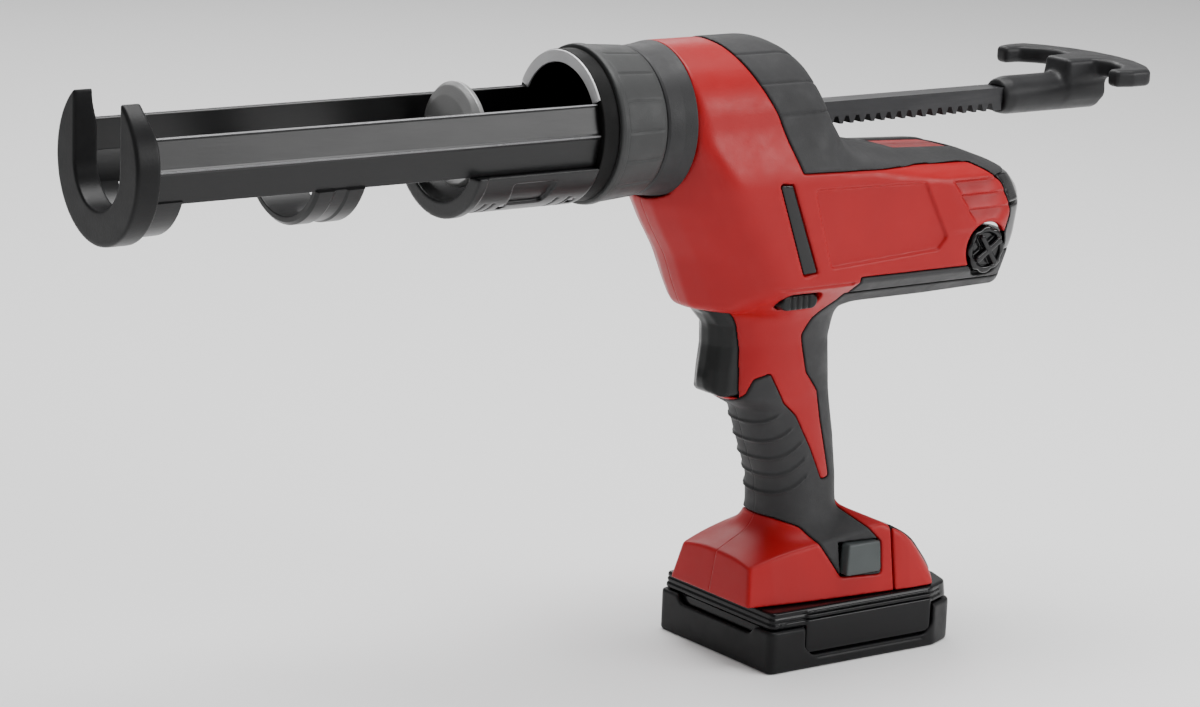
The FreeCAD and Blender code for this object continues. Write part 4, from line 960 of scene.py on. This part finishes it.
def make_trigger():
    u, y, w = axes_for((275, -12.5, -121), (312, 12.5, -80), 0.75)
    a = np.abs(y)
    side = [(277.5, -80.5, 0.5), (281.0, -83.0, 3), (284.8, -88.5, 8), (285.2, -97, 20),
            (284, -107, 20), (283, -112.0, 8), (284.0, -116.0, 4), (288.5, -118.4, 4),
            (300, -118.2, 1.0), (300, -80.5, 0.5)]
    shape = outline(u, w, rounded(side, 4))
    plan = rounded([(270, -6), (270, 1), (283.4, 3.0, 5), (285.4, 7.4, 4), (290.5, 10.0, 5),
                    (301.5, 10.0, 0.5), (301.5, -6)], 2)
    lean = np.interp(w.ravel(), (-120, -107, -97, -88, -80),
                     (0, 0.8, 2.0, 1.6, -6.0)).astype(np.float32)
    shape = both(shape, outline(u - lean[None, None], a, plan), 1.6)
    groove = both(np.hypot(u - 299.0, a - 10.4) - 0.9, slab(w, -118, -83), 0.4)
    shape = both(shape, -groove, 0.4)
    stem = block(u, a, w, ((298, 312), (-6, 4), (-104, -92)), 0.6)
    shape = np.minimum(shape, stem)
    item = solid_mesh("trigger_paddle", (u, y, w), shape)
    finish_piece(item, "trigger_black", "trigger_body", "trigger")


def make_lock_button():
    u, y, w = axes_for((301, -29.5, -80), (321, 29.5, -72), 0.75)
    bar = both(button_field(u, w, 0), np.abs(y) - 29.5, 1.2)
    for place in (-4.5, -1.5, 1.5, 4.5):
        ridge = both(np.abs(u - 311 - place) - 0.45, 29.0 - np.abs(y), 0.3)
        bar = both(bar, -(ridge), 0.3)
    item = solid_mesh("lock_bar", (u, y, w), bar)
    finish_piece(item, "trigger_black", "lock_button_body", "lock_button")


def make_dial():
    """A star knob with scalloped flanks and a raised grip bar across its face."""
    u, y, w = axes_for((394, -39, -71.5), (416, -22, -49.5), 0.6)
    du, dw = u - DIAL[0], w - DIAL[1]
    away = np.sqrt(du ** 2 + dw ** 2)
    angle = np.arctan2(dw, du)
    lobes = 10.2 - 0.75 * (0.5 - 0.5 * np.cos(8 * angle)) ** 2
    knob = both(away - lobes, slab(y, -36.6, -29.4), 1.4)
    face = both(away - 7.4, slab(y, -40, -35.4), 0.6)
    knob = both(knob, -face, 0.6)
    for turn in (0.55, 2.15, 3.75):
        along = du * math.cos(turn) + dw * math.sin(turn)
        across = -du * math.sin(turn) + dw * math.cos(turn)
        fin = both(np.hypot(np.maximum(np.abs(along) - 6.6, 0), across) - 1.25, slab(y, -38.6, -34),
                   0.8)
        knob = np.minimum(knob, fin)
    hub = both(away - 2.9, slab(y, -36, -22), 0.4)
    knob = np.minimum(knob, hub)
    item = solid_mesh("speed_knob", (u, y, w), knob)
    finish_piece(item, "trigger_black", "dial_body", "speed_dial", material=TRIM)


def make_bars():
    """Black strips let into the flanks, in the gloss trim finish."""
    u, y, w = axes_for((290, 35, -64), (314, 38.6, -23), 0.75)
    bar = outline(u, w, BAR)
    slope = 37.9 - 0.12 * (297 - u - (w + 24) * 0.4)
    shape = both(both(bar, slab(y, 35.7, 38.0), 0.8), y - np.minimum(slope, 38.2), 0.5)
    for name, mirror in SIDES:
        item = solid_mesh(name + "_bar", (u, y, w), shape, mirror)
        finish_piece(item, "trim_black", "housing", "vent_bars")


def make_latches():
    """Press pads let into the foot's flanks, their faces leaning inward towards the top."""
    for name, mirror in SIDES:
        u, y, w = axes_for((339, 23, -196), (359, 35, -183), 0.75)
        outer = outline(u, w, rounded([(339.2, -196), (358.0, -196), (358.4, -183), (341.6, -183)],
                                      1.5))
        pad = both(outer, slab(y + 0.15 * (w + 196), 29.3, 34.9), 0.8)
        tail = block(u, y, w, ((343, 351), (23.4, 31), (-193, -187)), 0.4)
        item = solid_mesh(name + "_latch_pad", (u, y, w), np.minimum(pad, tail), mirror)
        finish_piece(item, "latch_grey", "latch_" + name, name + "_latch")


def screw_head(centre, axis, radius):
    """A round head with a six-lobed drive recess. Axis is the way that it faces."""
    facing = Vector(axis).normalized()
    side = facing.orthogonal().normalized()
    up = facing.cross(side)
    count = 48
    rings = ((radius, 0, -1.2), (radius, 0, -0.35), (radius - 0.35, 0, 0.0),
             (0.62 * radius, 0, 0.1), (0.46 * radius, 0.07 * radius, 0.08),
             (0.43 * radius, 0.07 * radius, -0.9))
    points = []
    for reach, lobe, lift in rings:
        for step in range(count):
            turn = TURN * step / count
            away = side * math.cos(turn) + up * math.sin(turn)
            out = away * (reach + lobe * math.cos(6 * turn))
            points.append(tuple(Vector(centre) + out + facing * lift))
    return ringed_mesh("head", points, len(rings))


def joined(name, items):
    """Makes one object of several meshes."""
    made = bmesh.new()
    for item in items:
        made.from_mesh(item.data)
    mesh = bpy.data.meshes.new(name)
    made.to_mesh(mesh)
    made.free()
    for item in items:
        bpy.data.objects.remove(item)
    result = bpy.data.objects.new(name, mesh)
    bpy.context.scene.collection.objects.link(result)
    return flat_shading(result)


def make_screws(seats):
    heads = [screw_head((u, depth - 0.7, w), (0, 1, 0), 2.8) for u, w, depth in seats]
    finish_piece(joined("housing_screw_heads", heads), "screw_steel", "housing", "housing_screws")
    rivets = []
    for side in (-1, 1):
        for place in RIVETS_ALONG:
            rivets.append(screw_head((place, side * 15.4, -26.7), (0, side, -1.73), 1.3))
    for y, w in ((24.2, 2.0), (22.4, -8.0), (-22.5, -9.0)):
        rivets.append(screw_head((0.15, y, w), (-1, 0, 0), 0.8))
    finish_piece(joined("carriage_rivet_heads", rivets), "rivet_steel", "carriage",
                 "carriage_rivets")


# --- battery

def pack_plan(inset):
    half = 39.0 - inset
    front = 296.8 + inset
    back = 403.0 - inset
    return rounded([(front, -half), (back - 6 - 11, -half, 8), (back - 4, -half + 5.5, 8),
                    (back, -half + 19, 10), (back, half - 19, 10), (back - 4, half - 5.5, 8),
                    (back - 6 - 11, half, 8), (front, half)], 3.5)


def make_battery():
    u, y, w = axes_for((294, -39, -232), (403, 39, -196))
    a = np.abs(y)
    top = both(outline(u, a, pack_plan(0.7)) + 0.12 * (w + 213) + 0.5, slab(w, -213.1, -206.0), 1.0)
    inner = both(outline(u, a, pack_plan(2.4)), slab(w, -229.3, -210.0), 0.8)
    side = block(u, a, w, ((316.2, 384.5), (-60, 38.4), (-225.4, -207.6)), 1.2)
    tongue = block(u, a, w, ((306, 392), (-60, 22), (-208, -196.2)), 0.8)
    case = np.minimum(np.minimum(join(top, inner, 1.0), tongue), side)
    edge = outline(u, a, pack_plan(0.7))
    for level in (-208.4, -210.4):
        line = both(np.abs(w - level) - 0.3, -1.6 - edge, 0.2)
        line = both(line, np.minimum(u - 308.5, 34.0 - a), 0.3)
        case = both(case, -line, 0.3)
    for place in (302.5, 305.0):
        notch = both(both(np.abs(u - place) - 0.4, 37.0 - a, 0.2), slab(w, -213.5, -209.5), 0.3)
        case = both(case, -notch, 0.3)
    item = solid_mesh("pack_case", (u, y, w), case)
    finish_piece(item, "battery_gloss", "battery", "battery_case")

    tray = both(outline(u, a, pack_plan(0.0)), slab(w, -232.0, -213.7), 1.6)
    hollow = both(outline(u, a, pack_plan(2.25)), -229.2 - w, 0.5)
    tray = both(tray, -hollow, 0.5)
    window = rounded([(315.4, -190, 0), (315.4, -222.5, 4), (320, -226.4, 4), (381, -226.4, 4),
                      (385.4, -222, 4), (385.4, -190, 0)], 3)
    tray = both(tray, -both(outline(u, w, window), 30 - a, 0.3), 0.7)
    for level, end_of_pack in ((-217.4, u - 310), (-217.6, 390 - u)):
        dip = rounded([(-5, -190, 0), (-5, level, 0), (24, level, 4), (28, -213, 3), (29, -190, 0)],
                      2)
        tray = both(tray, -both(outline(a, w, dip), end_of_pack, 0.3), 0.6)
    bead = both(np.abs(w + 227.6) - 0.35, 38.4 - a, 0.2)
    tray = both(tray, -both(bead, slab(u, 322, 380), 0.4), 0.4)
    item = solid_mesh("pack_tray", (u, y, w), tray)
    finish_piece(item, "battery_matt", "battery", "battery_tray")


# --- stage

LIGHTS = (("key", (0.90, -1.25, 0.70), (1.1, 0.5), 15.0),
          ("top", (0.15, 0.1, 1.7), (1.5, 0.8), 40.0), ("front", (-1.7, -0.2, 0.9), (0.5, 0.9),
                                                        2.0),
                                                        ("rim", (0.6, 1.6, 1.3), (1.2, 0.8), 12.0))


def make_floor():
    mesh = bpy.data.meshes.new("floor")
    mesh.from_pydata([(-9, -9, 0), (9, -9, 0), (9, 14, 0), (-9, 14, 0)], [], [(0, 1, 2, 3)])
    floor = bpy.data.objects.new("floor", mesh)
    bpy.context.scene.collection.objects.link(floor)
    material = bpy.data.materials.new("pale_floor")
    material.use_nodes = True
    tree = material.node_tree
    shader = tree.nodes["Principled BSDF"]
    shader.inputs["Roughness"].default_value = 0.9
    shader.inputs["Specular IOR Level"].default_value = 0.1
    spots = add_node(tree, "TexNoise", {"Scale": 3.0}).outputs["Fac"]
    tint = add_node(tree, "MapRange", {"To Min": 0.88, "To Max": 0.91}, spots, "Value")
    tree.links.new(tint.outputs["Result"], shader.inputs["Base Color"])
    mesh.materials.append(material)


def make_lights():
    """A pale surround that brightens towards the back, and four soft panels."""
    world = bpy.data.worlds.new("studio")
    world.use_nodes = True
    sky = world.node_tree
    around = sky.nodes.new("ShaderNodeTexCoord").outputs["Generated"]
    along = add_node(sky, "SeparateXYZ", {}, around).outputs["X"]
    values = {"From Min": -1.0, "To Min": 0.26, "To Max": 0.58}
    level = add_node(sky, "MapRange", values, along, "Value").outputs["Result"]
    backdrop = sky.nodes["Background"]
    sky.links.new(level, backdrop.inputs["Strength"])
    backdrop.inputs["Color"].default_value = (1.0, 1.0, 1.0, 1)
    bpy.context.scene.world = world

    target = Vector((0.0, 0.0, 0.14))
    for name, place, size, power in LIGHTS:
        lamp = bpy.data.lights.new(name, "AREA")
        lamp.shape = "RECTANGLE"
        lamp.size, lamp.size_y = size
        lamp.energy = power
        item = bpy.data.objects.new(name, lamp)
        item.location = place
        item.rotation_euler = (target - Vector(place)).to_track_quat("-Z", "Y").to_euler()
        bpy.context.scene.collection.objects.link(item)


CAMERA_PLACE = Vector((-1.01467, -1.23454, 0.49048))
CAMERA_AIM = Vector((-0.11432, 0.0, 0.13652))
CAMERA_LENS = 115.8
CAMERA_ROLL = math.radians(2.25)


def make_camera():
    """The camera stands ahead of the nose on the dial's side and looks slightly down."""
    data = bpy.data.cameras.new("view")
    data.sensor_width = 36.0
    data.lens = CAMERA_LENS
    data.clip_end = 50.0
    camera = bpy.data.objects.new("view", data)
    bpy.context.scene.collection.objects.link(camera)
    forward = (CAMERA_AIM - CAMERA_PLACE).normalized()
    right = forward.cross(Vector((0, 0, 1))).normalized()
    up = right.cross(forward)
    turned_right = right * math.cos(CAMERA_ROLL) + up * math.sin(CAMERA_ROLL)
    turned_up = up * math.cos(CAMERA_ROLL) - right * math.sin(CAMERA_ROLL)
    matrix = Matrix((turned_right, turned_up, -forward)).transposed().to_4x4()
    matrix.translation = CAMERA_PLACE
    camera.matrix_world = matrix
    bpy.context.scene.camera = camera


finish_cad_nodes()
seats_found = make_body()
make_carriage()
make_collar()
make_rod()
make_trigger()
make_lock_button()
make_dial()
make_bars()
make_latches()
make_screws(seats_found)
make_battery()
make_floor()
make_lights()
make_camera()

bpy.context.view_layer.update()
